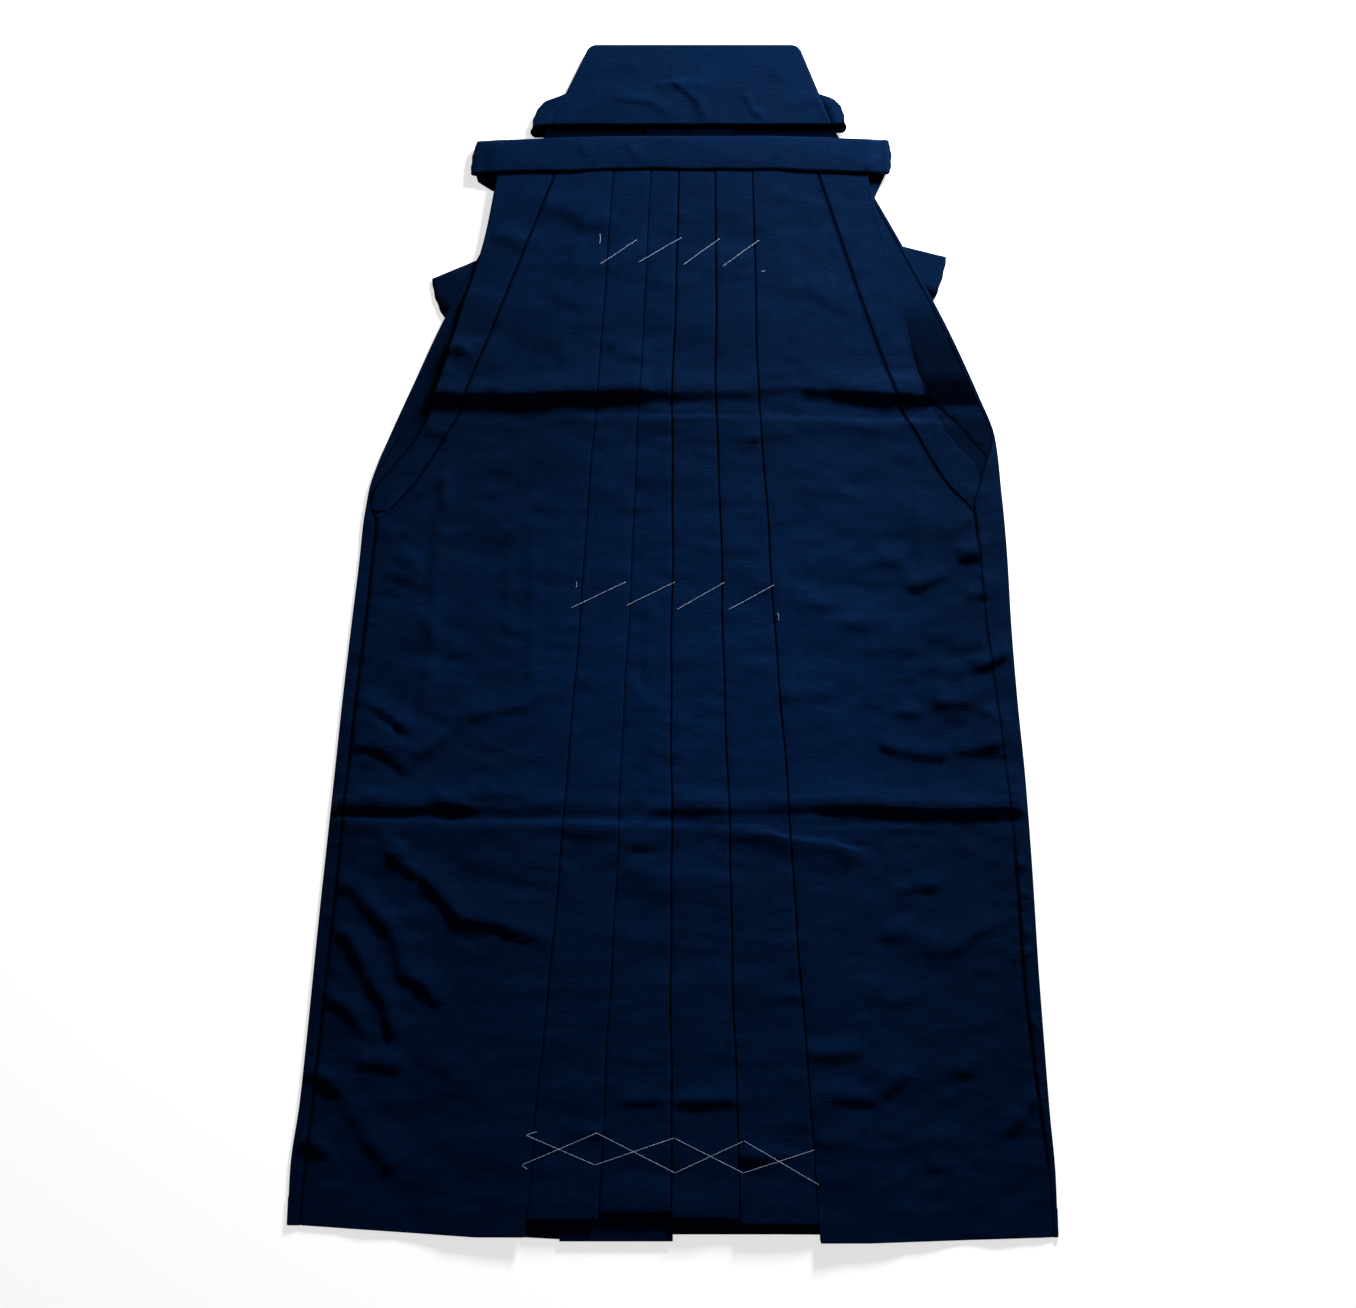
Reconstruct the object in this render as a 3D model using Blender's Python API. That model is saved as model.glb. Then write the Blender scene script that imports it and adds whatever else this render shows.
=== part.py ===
"""Hakama trousers (divided, with five front pleats) folded flat, front side up.

+X runs to the wearer's left, +Y towards the waist, +Z up from the surface they lie on.
The origin is under the middle of the garment's outline, on that surface.
"""
import bpy
import bmesh
import math
from collections import namedtuple
from mathutils import Vector

# Lengths are millimetres. "Down" is the distance below the front band's seam.
MM = 0.001
WALL = 1.1                # thickness of the cloth
GAP = 0.35                # air between two layers, and between two pieces at a seam
PITCH = WALL + GAP        # height from one layer to the next
TIE_WALL = 1.5            # a tie is the cloth folded flat on itself

HEM_DOWN = 914.6          # lowest point of the hem
BOARD_UP = 119.6          # top of the back board above the band's seam
WAIST_Y = (HEM_DOWN - BOARD_UP) / 2
PANEL_TOP = -14.0         # top edge of the front panels, inside the band
BACK_TOP = -44.5          # top edge of the back panels, at the board
HEM_LINE = 905.0          # last ring of the panels, moved to each strip's own hem
HEM_BLEND = 700.0         # the hem's shift starts here

# The pleats.
PLEAT_WAIST = 15.0        # hidden depth of a front pleat at the band
PLEAT_HEM = 38.0          # and at the hem
BEND = PITCH / 2          # half the height of a flat fold
SHELF = 3.0               # level cloth beside a fold, past its hidden layers
CLEAR = 2.0               # a strip stays low for this far past the fold above it
BACK_PLEAT_WAIST = 40.0
BACK_PLEAT_HEM = 92.0
BACK_CENTRE_WAIST = 14.0  # where the two back folds meet, at the waist
BACK_CENTRE_SLACK = 1.5   # each back fold stops this far from the middle

# The heights of the layers.
TIE_STACK = 2 * TIE_WALL + 2 * GAP     # room for the crossed ties under the back panels
TIES_END = 132.0                       # the back panels come down to the surface from here
FLAT_FROM = 190.0                      # to here
SIDE_ROOM_TOP = 3.0                    # front over the turned edge of the back's side opening
SIDE_ROOM_LOW = WALL + 0.55
SIDE_ROOM_START = 120.0
SIDE_ROOM_END = 200.0
CENTRE_ROOM = 3 * WALL + 2 * GAP + 0.5
CENTRE_FLAT = 8.0                      # the front stays raised this far past the back pleat
CENTRE_SLOPE = 120.0                   # and comes down over this width
BAND_ROOM = WALL + GAP + 0.15          # room for the inner layer of the band
BAND_ROOM_START = 4.0
BAND_ROOM_END = 60.0
EDGE_LEVEL = 1.15                      # the front lies this many layers up over its side strip
SLIT_DOWN = 303.0                      # bottom of the side opening
SLIT_FLAT = 345.0                      # the seam is down on the back panel from here
FLAP_RISE_START = 270.0                # the turned edge rises to the seam from here
RAMP_SHARE = 0.45                      # share of the outer strip that stays low

# Creases from packing, across the whole front: distance down and height.
Crease = namedtuple("Crease", "down height")
UPPER_CREASE = [Crease(145, 0.0), Crease(175, 3.4), Crease(188, 5.6), Crease(197, 5.2),
                Crease(206, 2.6), Crease(214, 0.5), Crease(223, 1.1), Crease(237, 0.0)]
LOWER_CREASE = [Crease(530, 0.0), Crease(557, 3.8), Crease(564, 2.8), Crease(571, 0.4),
                Crease(578, 0.8), Crease(600, 0.0)]
CREASE_CENTRE = 0.65      # share of a crease's height over the pleats
CREASE_INNER = 95.0
CREASE_OUTER = 160.0

RINGS = [PANEL_TOP, 0.0, 25.0, 66.0, 100.0, TIES_END, 145.0, 160.0, 175.0, 188.0, 197.0, 206.0,
         214.0, 223.0, 237.0, 260.0, 282.0, 295.0, SLIT_DOWN, 311.0, SLIT_FLAT, 397.0, 466.0,
         530.0, 557.0, 564.0, 571.0, 578.0, 600.0, 660.0, 730.0, 800.0, 860.0, HEM_LINE]
OUTER_SHARES = [0.0, 0.25, 0.5, 0.75]  # columns of the strip between the side and the first pleat

# Where each pleat's fold runs: x at the band, at the two creases and at the hem, and how far
# down the hem of the strip outside the fold and of the strip beyond it reach.
Fold = namedtuple("Fold", "waist upper lower hem outer_hem inner_hem")
FOLD_DOWNS = [0.0, 210.0, 568.0, 900.0]
RIGHT_FOLDS = [Fold(-52.5, -66.8, -92.0, -120.6, 909.8, 895.5),
               Fold(-20.0, -29.6, -45.9, -60.9, 894.6, 889.5)]
LEFT_FOLDS = [Fold(70.2, 75.0, 98.5, 120.4, 914.6, 899.5),
              Fold(37.8, 38.4, 47.8, 56.0, 898.6, 894.5),
              Fold(6.2, 0.4, -0.5, -0.4, 893.8, 892.5)]
CENTRE_HEM = 889.0

# The sides: x of the fold where the back wraps forward, and of the turned edge in front of it,
# which is the side seam below the opening.
Side = namedtuple("Side", "down right_fold left_fold right_flap left_flap")
SIDES = [Side(-45, -108.0, 140.0, -100.0, 132.0),
         Side(66, -164.6, 200.7, -156.6, 192.7),
         Side(132, -198.5, 234.5, -190.5, 226.5),
         Side(199, -228.5, 264.3, -220.5, 256.3),
         Side(237, -244.6, 277.8, -236.6, 269.5),
         Side(260, -253.7, 280.3, -245.7, 267.9),
         Side(282, -260.5, 281.9, -252.5, 261.8),
         Side(295, -262.6, 283.0, -253.3, 257.9),
         Side(311, -264.9, 284.2, -254.0, 259.8),
         Side(345, -267.8, 286.2, -256.5, 262.5),
         Side(397, -273.0, 288.0, -260.8, 266.4),
         Side(466, -279.6, 292.0, -272.9, 274.5),
         Side(530, -285.0, 297.0, -280.2, 281.0),
         Side(600, -291.0, 300.8, -287.0, 292.0),
         Side(660, -296.0, 303.2, -291.0, 299.0),
         Side(800, -307.0, 310.5, -300.0, 307.0),
         Side(860, -314.0, 314.6, -304.0, 310.8),
         Side(905, -315.2, 315.2, -306.0, 312.0)]

# The front above the slit: x of its own open edge and of the leaf-shaped pleat's fold.
Opening = namedtuple("Opening", "down right_edge left_edge right_pleat left_pleat")
OPENING = [Opening(-14, -151.0, 166.5, -96.5, 121.0),
           Opening(0, -153.2, 169.2, -101.5, 125.4),
           Opening(60, -164.0, 182.8, -124.5, 144.5),
           Opening(125, -183.6, 198.7, -149.4, 165.2),
           Opening(198, -204.4, 218.4, -177.2, 191.0),
           Opening(212, -209.0, 233.0, -181.5, 196.0),
           Opening(237, -221.5, 256.0, -195.4, 209.8),
           Opening(260, -241.0, 266.9, -209.0, 222.7),
           Opening(282, -251.6, 260.9, -223.7, 237.6),
           Opening(295, -252.4, 257.2, -235.4, 250.5),
           Opening(303, -252.9, 258.2, -242.5, 257.4)]
STRIP_HIDDEN = [Crease(-14, 12.0), Crease(200, 24.0), Crease(303, 3.0)]

Leg = namedtuple("Leg", "side inward folds seam_hem centre_hem")
RIGHT_LEG = Leg("right", 1, RIGHT_FOLDS, 900.2, 913.0)
LEFT_LEG = Leg("left", -1, LEFT_FOLDS, 909.8, 907.4)
BACK_HEM_SHORT = 1.0      # the back's hem at the side, above the front's

# The front band.
BAND_HEIGHT = 29.5
BAND_STATIONS = [-168.0, -160.0, -151.0, -125.0, -98.0, -75.0, -50.0, -25.0, 0.0, 25.0, 50.0, 75.0,
                 98.0, 122.0, 145.0, 167.0, 177.0, 186.0]
BAND_ARCH = 3.0           # the band's seam rises this much between its ends
BAND_OVER = 3.3 * PITCH   # its outer layer over the panels' lowest layer
BAND_END_OVER = 0.4 * PITCH

# The back board, a stiff plate covered with the cloth.
BOARD_THICK = 4.0
BOARD_ROUND = 0.8
BOARD_LOW = TIE_STACK + 0.05
BOARD_DOWN = -45.0        # its lower edge
BOARD_CORNER = 9.0        # radius of its upper corners
BOARD_TOP_LEFT = -73.5    # the corners before rounding
BOARD_TOP_RIGHT = 111.0
BOARD_LOW_LEFT = -108.0
BOARD_LOW_RIGHT = 140.0

# Height of the middle of a tie that lies lowest, and of the tie that crosses over it.
TIE_LOW = TIE_WALL / 2
TIE_HIGH = TIE_LOW + TIE_WALL + GAP
TURN_STEPS = 5            # stations round a tie's fold

CLOTH = (0.0045, 0.0165, 0.058)
CLOTH_ROUGHNESS = 0.72


def smooth(start, end, value):
    """0 before start, 1 after end, with a soft rise between them."""
    share = min(max((value - start) / (end - start), 0.0), 1.0)
    return share * share * (3 - 2 * share)


def mix(first, second, share):
    return first + (second - first) * share


def read(rows, column, down):
    """A column of a table whose rows start with the distance down, read on straight lines."""
    if down <= rows[0].down:
        return getattr(rows[0], column)
    for above, below in zip(rows, rows[1:]):
        if down <= below.down:
            share = (down - above.down) / (below.down - above.down)
            return mix(getattr(above, column), getattr(below, column), share)
    return getattr(rows[-1], column)


def fold_x(fold, down):
    """x of a pleat's fold, on straight lines between its four places."""
    rows = [Crease(place, x) for place, x in zip(FOLD_DOWNS, fold[:4])]
    if down < 0:
        slope = (fold.upper - fold.waist) / FOLD_DOWNS[1]
        return fold.waist + slope * down
    return read(rows, "height", down)


def pleat_depth(down):
    return mix(PLEAT_WAIST, PLEAT_HEM, down / HEM_LINE)


def back_pleat_depth(down):
    return mix(BACK_PLEAT_WAIST, BACK_PLEAT_HEM, down / HEM_LINE)


def back_centre(down):
    return mix(BACK_CENTRE_WAIST, 0.0, smooth(BACK_TOP, HEM_LINE, down))


def lift(down):
    """Height of the back panels' underside: over the crossed ties, then on the surface."""
    return TIE_STACK * (1 - smooth(TIES_END, FLAT_FROM, down))


def crease(x, down):
    height = read(UPPER_CREASE, "height", down) + read(LOWER_CREASE, "height", down)
    share = mix(CREASE_CENTRE, 1.0, smooth(CREASE_INNER, CREASE_OUTER, abs(x)))
    return height * share


def front_base(x, down):
    """Underside of the front's lowest layer, above the back panels and their pleats."""
    side = mix(SIDE_ROOM_TOP, SIDE_ROOM_LOW, smooth(SIDE_ROOM_START, SIDE_ROOM_END, down))
    past_pleat = abs(x - back_centre(down)) - back_pleat_depth(down) - CENTRE_FLAT
    room = mix(CENTRE_ROOM, side, smooth(0.0, CENTRE_SLOPE, past_pleat))
    room += BAND_ROOM * (1 - smooth(BAND_ROOM_START, BAND_ROOM_END, down))
    return lift(down) + room


def front_height(x, down, level):
    """Height of the middle of the front's cloth, a number of layers up from the lowest."""
    return front_base(x, down) + WALL / 2 + level * PITCH + crease(x, down)


def edge_level(down):
    return EDGE_LEVEL * (1 - smooth(SLIT_DOWN, SLIT_FLAT, down))


def outer_edge(leg, down):
    """x of the front panel's outer edge: the leaf pleat's fold, then the side seam."""
    if down <= SLIT_DOWN:
        return read(OPENING, leg.side + "_pleat", down)
    return read(SIDES, leg.side + "_flap", down) + leg.inward * GAP


def front_path(leg, down):
    """The front panel's cloth at one height, from the side to the middle: x, z and hem."""
    inward = leg.inward
    depth = pleat_depth(down)
    outer = outer_edge(leg, down)
    shelf = fold_x(leg.folds[0], down) - inward * (depth + SHELF)
    low = edge_level(down)
    steps = []
    for share in OUTER_SHARES:
        level = mix(low, 2.0, smooth(RAMP_SHARE, 1.0, share))
        hem = mix(leg.seam_hem, leg.folds[0].outer_hem, share)
        steps.append((mix(outer, shelf, share), level, hem))
    for fold in leg.folds:
        edge = fold_x(fold, down)
        hems = [mix(fold.outer_hem, fold.inner_hem, share / 4) for share in range(5)]
        steps.append((edge - inward * (depth + SHELF), 2.0, hems[0]))
        steps.append((edge - inward * BEND, 2.0, hems[0]))
        steps.append((edge, 1.5, hems[1]))
        steps.append((edge - inward * BEND, 1.0, hems[1]))
        steps.append((edge - inward * (depth - BEND), 1.0, hems[2]))
        if fold is LEFT_FOLDS[-1]:
            break
        steps.append((edge - inward * depth, 0.5, hems[3]))
        steps.append((edge - inward * (depth - BEND), 0.0, hems[3]))
        steps.append((edge + inward * CLEAR, 0.0, hems[4]))
    if leg is RIGHT_LEG:
        seam = fold_x(LEFT_FOLDS[-1], down) + depth - BEND
        steps.append((seam, 0.0, CENTRE_HEM))
    return [(x, front_height(x, down, level), hem) for x, level, hem in steps]


def strip_path(leg, down):
    """The strip under the leaf-shaped pleat at one height, from its hidden edge outwards."""
    pleat = read(OPENING, leg.side + "_pleat", down)
    edge = read(OPENING, leg.side + "_edge", down)
    hidden = pleat + leg.inward * read(STRIP_HIDDEN, "height", down)
    places = [hidden, pleat, (pleat + edge) / 2, edge]
    return [(x, front_height(x, down, 0.0), HEM_LINE) for x in places]


def back_path(leg, down):
    """The back panel's cloth at one height: seam, side fold, underside, centre pleat."""
    inward = leg.inward
    fold = read(SIDES, leg.side + "_fold", down)
    flap = read(SIDES, leg.side + "_flap", down)
    low = lift(down) + WALL / 2
    at_seam = front_height(flap, down, edge_level(down))
    flap_z = mix(low + PITCH, at_seam, smooth(FLAP_RISE_START, SLIT_DOWN, down))
    bend = (flap_z - low) / 2
    seam_hem = leg.seam_hem
    side_hem = seam_hem - BACK_HEM_SHORT
    steps = [(flap, flap_z, seam_hem),
             (fold + inward * bend, flap_z, seam_hem),
             (fold, low + bend, side_hem),
             (fold + inward * bend, low, side_hem)]
    centre = back_centre(down) - inward * BACK_CENTRE_SLACK
    depth = back_pleat_depth(down)
    for share in (0.35, 0.7):
        steps.append((mix(fold, centre, share), low, mix(side_hem, leg.centre_hem, share)))
    for inset, level in ((BEND, 0.0), (0.0, 0.5), (BEND, 1.0), (depth - BEND, 1.0),
                         (depth, 1.5), (depth - BEND, 2.0), (0.0, 2.0)):
        steps.append((centre - inward * inset, low + level * PITCH, leg.centre_hem))
    return steps


def point(x, down, z):
    return Vector((x, WAIST_Y - down, z)) * MM


def offset_pairs(line, half):
    """Points half a wall to both sides of a line of (across, z) points, with mitred bends."""
    pairs = []
    for index, (across, z) in enumerate(line):
        before = Vector(line[max(index - 1, 0)])
        after = Vector(line[min(index + 1, len(line) - 1)])
        here = Vector((across, z))
        arrive = (here - before).normalized() if index else (after - here).normalized()
        leave = (after - here).normalized() if index < len(line) - 1 else arrive
        along = (arrive + leave).normalized()
        reach = half / max(along.dot(leave), 0.7)
        side = Vector((-along.y, along.x)) * reach
        pairs.append((here + side, here - side))
    return pairs


def wall_object(name, upper, lower, parts):
    """A closed wall between two grids of points that have the same rows and columns."""
    mesh = bpy.data.meshes.new(name)
    grid = bmesh.new()
    tops = [[grid.verts.new(place) for place in row] for row in upper]
    unders = [[grid.verts.new(place) for place in row] for row in lower]
    last_row = len(tops) - 1
    last_column = len(tops[0]) - 1
    for row in range(last_row):
        for column in range(last_column):
            for sheet in (tops, unders):
                grid.faces.new((sheet[row][column], sheet[row][column + 1],
                                sheet[row + 1][column + 1], sheet[row + 1][column]))
        for column in (0, last_column):
            grid.faces.new((tops[row][column], tops[row + 1][column],
                            unders[row + 1][column], unders[row][column]))
    for row in (0, last_row):
        for column in range(last_column):
            grid.faces.new((tops[row][column], tops[row][column + 1],
                            unders[row][column + 1], unders[row][column]))
    bmesh.ops.recalc_face_normals(grid, faces=grid.faces)
    if grid.calc_volume(signed=True) < 0:
        bmesh.ops.reverse_faces(grid, faces=grid.faces)
    grid.to_mesh(mesh)
    grid.free()
    return finish_object(name, mesh, parts)


def cloth_material(name):
    material = bpy.data.materials.new(name)
    material.use_nodes = True
    shader = material.node_tree.nodes["Principled BSDF"]
    shader.inputs["Base Color"].default_value = (*CLOTH, 1.0)
    shader.inputs["Roughness"].default_value = CLOTH_ROUGHNESS
    shader.inputs["Metallic"].default_value = 0.0
    material.diffuse_color = (*CLOTH, 1.0)
    return material


def finish_object(name, data, parts):
    piece = bpy.data.objects.new(name, data)
    data.materials.append(cloth_material(name + "_cloth"))
    parts.objects.link(piece)
    return piece


def panel_object(name, leg, path, downs, parts):
    """A panel lofted through its cloth's path at each distance down."""
    upper = []
    lower = []
    for down in downs:
        steps = path(leg, down)
        pairs = offset_pairs([(x, z) for x, z, hem in steps], WALL / 2)
        sink = smooth(HEM_BLEND, HEM_LINE, down)
        places = [down + (hem - HEM_LINE) * sink for x, z, hem in steps]
        upper.append([point(one.x, place, one.y) for (one, other), place in zip(pairs, places)])
        lower.append([point(other.x, place, other.y) for (one, other), place in zip(pairs, places)])
    return wall_object(name, upper, lower, parts)


def band_path(x):
    """The band's section at x: inner layer, fold along the top, outer layer, as (down, z)."""
    left_end = BAND_STATIONS[0]
    right_end = BAND_STATIONS[-1]
    share = (x - left_end) / (right_end - left_end)
    seam = -BAND_ARCH * math.sin(math.pi * share)
    top = seam - BAND_HEIGHT - share
    past_front = max(read(OPENING, "right_edge", 0) - x, x - read(OPENING, "left_edge", 0), 0.0)
    over = mix(BAND_OVER, BAND_END_OVER, smooth(0.0, 14.0, past_front))
    line = []
    for down in (seam, (seam + top) / 2, top + BEND):
        line.append((down, front_base(x, down) + WALL / 2 - PITCH - 0.1))
    bend_low = line[-1][1]
    bend_high = front_base(x, top) + WALL / 2 + over
    line.append((top, (bend_low + bend_high) / 2))
    for down in (top + BEND, (seam + top) / 2, seam):
        line.append((down, front_base(x, down) + WALL / 2 + over))
    return line


def front_band(parts):
    upper = []
    lower = []
    for x in BAND_STATIONS:
        pairs = offset_pairs(band_path(x), WALL / 2)
        upper.append([point(x, one.x, one.y) for one, other in pairs])
        lower.append([point(x, other.x, other.y) for one, other in pairs])
    return wall_object("front_band", upper, lower, parts)


def board_side(down, low_x, top_x):
    """x of the board's slanting side at a distance down."""
    share = (down + BOARD_UP) / (BOARD_DOWN + BOARD_UP)
    return mix(top_x, low_x, share)


def back_board(parts):
    """A flat trapezoid with two round corners, extruded, its edges softened."""
    corners = [(BOARD_LOW_LEFT, BOARD_DOWN), (BOARD_LOW_RIGHT, BOARD_DOWN)]
    upper_corners = [(BOARD_TOP_RIGHT, 1), (BOARD_TOP_LEFT, -1)]
    for corner_x, outward in upper_corners:
        turn = [corner_x - outward * BOARD_CORNER * (1 - math.sin(step * math.pi / 8))
                for step in range(5)]
        rise = [-BOARD_UP + BOARD_CORNER * (1 - math.cos(step * math.pi / 8))
                for step in range(5)]
        arc = list(zip(turn, rise))
        corners += arc[::-1] if outward > 0 else arc
    curve = bpy.data.curves.new("back_board", "CURVE")
    curve.dimensions = "2D"
    curve.fill_mode = "BOTH"
    curve.extrude = (BOARD_THICK / 2 - BOARD_ROUND) * MM
    curve.bevel_depth = BOARD_ROUND * MM
    curve.bevel_resolution = 1
    curve.offset = -BOARD_ROUND * MM
    outline = curve.splines.new("POLY")
    outline.points.add(len(corners) - 1)
    for spot, (x, down) in zip(outline.points, corners):
        spot.co = (x * MM, (WAIST_Y - down) * MM, 0.0, 1.0)
    outline.use_cyclic_u = True
    board = finish_object("back_board", curve, parts)
    board.location.z = (BOARD_LOW + BOARD_THICK / 2) * MM
    return board


def ribbon_object(name, stations, parts):
    """A tie through stations, each with its two edges and the way its face looks."""
    half = TIE_WALL / 2 * MM
    upper = [[one + face * half, other + face * half] for one, other, face in stations]
    lower = [[one - face * half, other - face * half] for one, other, face in stations]
    return wall_object(name, upper, lower, parts)


def flat_station(upper_edge, lower_edge, z, face=1):
    """A station of a tie that lies flat: the places (x, down) of its edges, and its height."""
    return (point(*upper_edge, z), point(*lower_edge, z), Vector((0, 0, face)))


def turn_stations(upper_edge, lower_edge, z_from, z_to, outward, facing=1):
    """Stations round a flat fold whose line joins two places, bulging to one side in x.

    Facing is 1 where the tie's face looks up as it comes to the fold, and -1 where it looks down.
    """
    radius = abs(z_to - z_from) / 2
    middle = (z_from + z_to) / 2
    sign = 1 if z_from > z_to else -1
    stations = []
    for step in range(TURN_STEPS):
        angle = math.pi * step / (TURN_STEPS - 1)
        reach = outward * radius * math.sin(angle)
        z = middle + sign * radius * math.cos(angle)
        face = Vector((outward * sign * math.sin(angle), 0, math.cos(angle))) * facing
        stations.append((point(upper_edge[0] + reach, upper_edge[1], z),
                         point(lower_edge[0] + reach, lower_edge[1], z), face))
    return stations


def band_end_height(x):
    """Height of the middle of the band where a tie goes on from its end."""
    line = band_path(x)
    return (line[0][1] + line[-1][1]) / 2


def front_ties(parts):
    """Each tie folds back under the band's end, crosses behind, and folds at the far side."""
    left_end = BAND_STATIONS[0] - GAP
    start = band_end_height(BAND_STATIONS[0])
    line = [flat_station((left_end, -29.0), (left_end, -1.0), start)]
    line += turn_stations((left_end - 0.5, -28.5), (left_end - 2.0, -1.0), start, TIE_LOW, -1)
    line.append(flat_station((-140.0, -20.0), (-157.0, 14.5), TIE_LOW, -1))
    line.append(flat_station((-110.0, -12.0), (-120.0, 19.0), TIE_LOW, -1))
    line.append(flat_station((200.0, 65.0), (192.0, 105.0), TIE_LOW, -1))
    line += turn_stations((237.5, 74.5), (225.0, 113.5), TIE_LOW, TIE_HIGH, 1, -1)
    line.append(flat_station((156.0, 42.0), (143.0, 80.0), TIE_HIGH, 1))
    ribbon_object("front_tie_right", line, parts)

    right_end = BAND_STATIONS[-1] + GAP
    start = band_end_height(BAND_STATIONS[-1])
    line = [flat_station((right_end, -31.0), (right_end, -2.0), start)]
    line += turn_stations((right_end + 0.5, -31.0), (right_end + 1.5, -1.0), start, TIE_HIGH, 1)
    line.append(flat_station((160.0, -22.0), (177.0, 22.0), TIE_HIGH, -1))
    line.append(flat_station((120.0, -10.0), (130.0, 23.0), TIE_HIGH, -1))
    line.append(flat_station((-170.0, 77.0), (-160.0, 114.0), TIE_HIGH, -1))
    line += turn_stations((-209.5, 94.0), (-198.0, 129.5), TIE_HIGH, TIE_LOW, -1, -1)
    line.append(flat_station((-125.0, 64.0), (-114.0, 99.0), TIE_LOW, 1))
    ribbon_object("front_tie_left", line, parts)


def back_ties(parts):
    """Each tie leaves the board's lower side, folds down under it and crosses behind."""
    middle = BOARD_LOW + BOARD_THICK / 2
    high = -73.0
    low = -47.0
    out = GAP + 0.15
    line = [flat_station((board_side(high, BOARD_LOW_LEFT, BOARD_TOP_LEFT) - out, high),
                         (board_side(low, BOARD_LOW_LEFT, BOARD_TOP_LEFT) - out, low), middle)]
    line += turn_stations((-110.0, -69.0), (-123.5, -42.0), middle, TIE_LOW, -1)
    line.append(flat_station((-60.0, -64.0), (-62.0, -33.0), TIE_LOW, -1))
    line.append(flat_station((60.0, -60.0), (60.0, -30.0), TIE_LOW, -1))
    ribbon_object("back_tie_right", line, parts)

    line = [flat_station((board_side(high, BOARD_LOW_RIGHT, BOARD_TOP_RIGHT) + out, high),
                         (board_side(low, BOARD_LOW_RIGHT, BOARD_TOP_RIGHT) + out, low), middle)]
    line += turn_stations((139.5, -72.0), (153.0, -45.5), middle, TIE_HIGH, 1)
    line.append(flat_station((90.0, -66.0), (92.0, -35.0), TIE_HIGH, -1))
    line.append(flat_station((-30.0, -60.0), (-30.0, -31.0), TIE_HIGH, -1))
    ribbon_object("back_tie_left", line, parts)


def main():
    for old in list(bpy.data.objects):
        bpy.data.objects.remove(old, do_unlink=True)
    parts = bpy.data.collections.new("hakama_trousers")
    bpy.context.scene.collection.children.link(parts)
    strip_downs = [down for down in RINGS if down <= SLIT_DOWN]
    for leg in (RIGHT_LEG, LEFT_LEG):
        panel_object("back_" + leg.side + "_panel", leg, back_path, [BACK_TOP] + RINGS, parts)
        panel_object("front_" + leg.side + "_panel", leg, front_path, RINGS, parts)
        panel_object("side_" + leg.side + "_strip", leg, strip_path, strip_downs, parts)
    front_band(parts)
    back_board(parts)
    front_ties(parts)
    back_ties(parts)


main()
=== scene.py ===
import math
import bpy
import numpy as np
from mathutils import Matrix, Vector


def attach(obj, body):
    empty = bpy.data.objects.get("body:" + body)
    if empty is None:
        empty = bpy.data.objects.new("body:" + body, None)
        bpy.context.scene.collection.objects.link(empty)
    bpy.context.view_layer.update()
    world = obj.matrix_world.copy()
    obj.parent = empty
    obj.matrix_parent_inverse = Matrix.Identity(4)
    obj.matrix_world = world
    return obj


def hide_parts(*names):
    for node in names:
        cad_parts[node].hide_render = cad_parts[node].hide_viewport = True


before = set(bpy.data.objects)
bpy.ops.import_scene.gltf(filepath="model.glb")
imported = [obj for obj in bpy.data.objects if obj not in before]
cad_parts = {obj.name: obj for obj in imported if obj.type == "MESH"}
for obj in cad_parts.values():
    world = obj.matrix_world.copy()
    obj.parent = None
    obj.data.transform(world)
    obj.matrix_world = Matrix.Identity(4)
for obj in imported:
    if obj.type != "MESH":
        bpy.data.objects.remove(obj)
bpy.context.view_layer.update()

# Sizes are in millimetres until a mesh is made. "down" is the distance below the band's
# seam, so a point's Y is waistY - down. The front's layers are counted up from its lowest.
garment = {
    "waistY": 397.5,
    "wall": 1.1,            # the solid model's wall, which sets where the layers lie
    "pitch": 1.45,          # from one layer to the next
    "clothThick": 0.36,
    "turnDrop": 0.46,       # a turned edge lies this far under the cloth
    "hemLine": 905.0,
    "hemBlend": 700.0,
    "backTop": -44.5,
    "slitDown": 303.0,
    "slitFlat": 345.0,
}


def smooth(start, end, value):
    # 0 before start, 1 after end, s*s*(3 - 2s) between
    share = np.clip((value - start) / (end - start), 0.0, 1.0)
    return share * share * (3 - 2 * share)


def mix(first, second, share):
    # first at share 0, second at share 1, straight between
    return first + (second - first) * share


def unit(vectors):
    # each vector over its own length
    return vectors / np.maximum(np.linalg.norm(vectors, axis=-1, keepdims=True), 1e-12)


def waves(table, place):
    # height * sin(place / length + phase) for each wave of a table, added up
    return sum(height * np.sin(place / length + phase) for height, length, phase in table)


def curveThrough(places, values, query):
    # a cubic through the places whose tangents are harmonic means, so it never overshoots
    places = np.asarray(places, float)
    values = np.asarray(values, float)
    steps = np.diff(places)
    slopes = np.diff(values) / steps
    tangents = np.concatenate(([slopes[0]], np.zeros(len(steps) - 1), [slopes[-1]]))
    ahead = 2 * steps[1:] + steps[:-1]
    behind = steps[1:] + 2 * steps[:-1]
    rising = slopes[:-1] * slopes[1:] > 0
    before = np.where(rising, slopes[:-1], 1.0)
    after = np.where(rising, slopes[1:], 1.0)
    tangents[1:-1] = np.where(rising, (ahead + behind) / (ahead / before + behind / after), 0.0)
    query = np.clip(query, places[0], places[-1])
    index = np.clip(np.searchsorted(places, query, side="right") - 1, 0, len(steps) - 1)
    width = steps[index]
    t = (query - places[index]) / width
    return (values[index] * (1 + 2 * t) * (1 - t) ** 2 + tangents[index] * width * t * (1 - t) ** 2
            + values[index + 1] * t * t * (3 - 2 * t) + tangents[index + 1] * width * t * t * (t - 1))


def at(pairs, places):
    # straight between the (place, value) pairs of a table
    return np.interp(places, *np.array(pairs, float).T)


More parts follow.
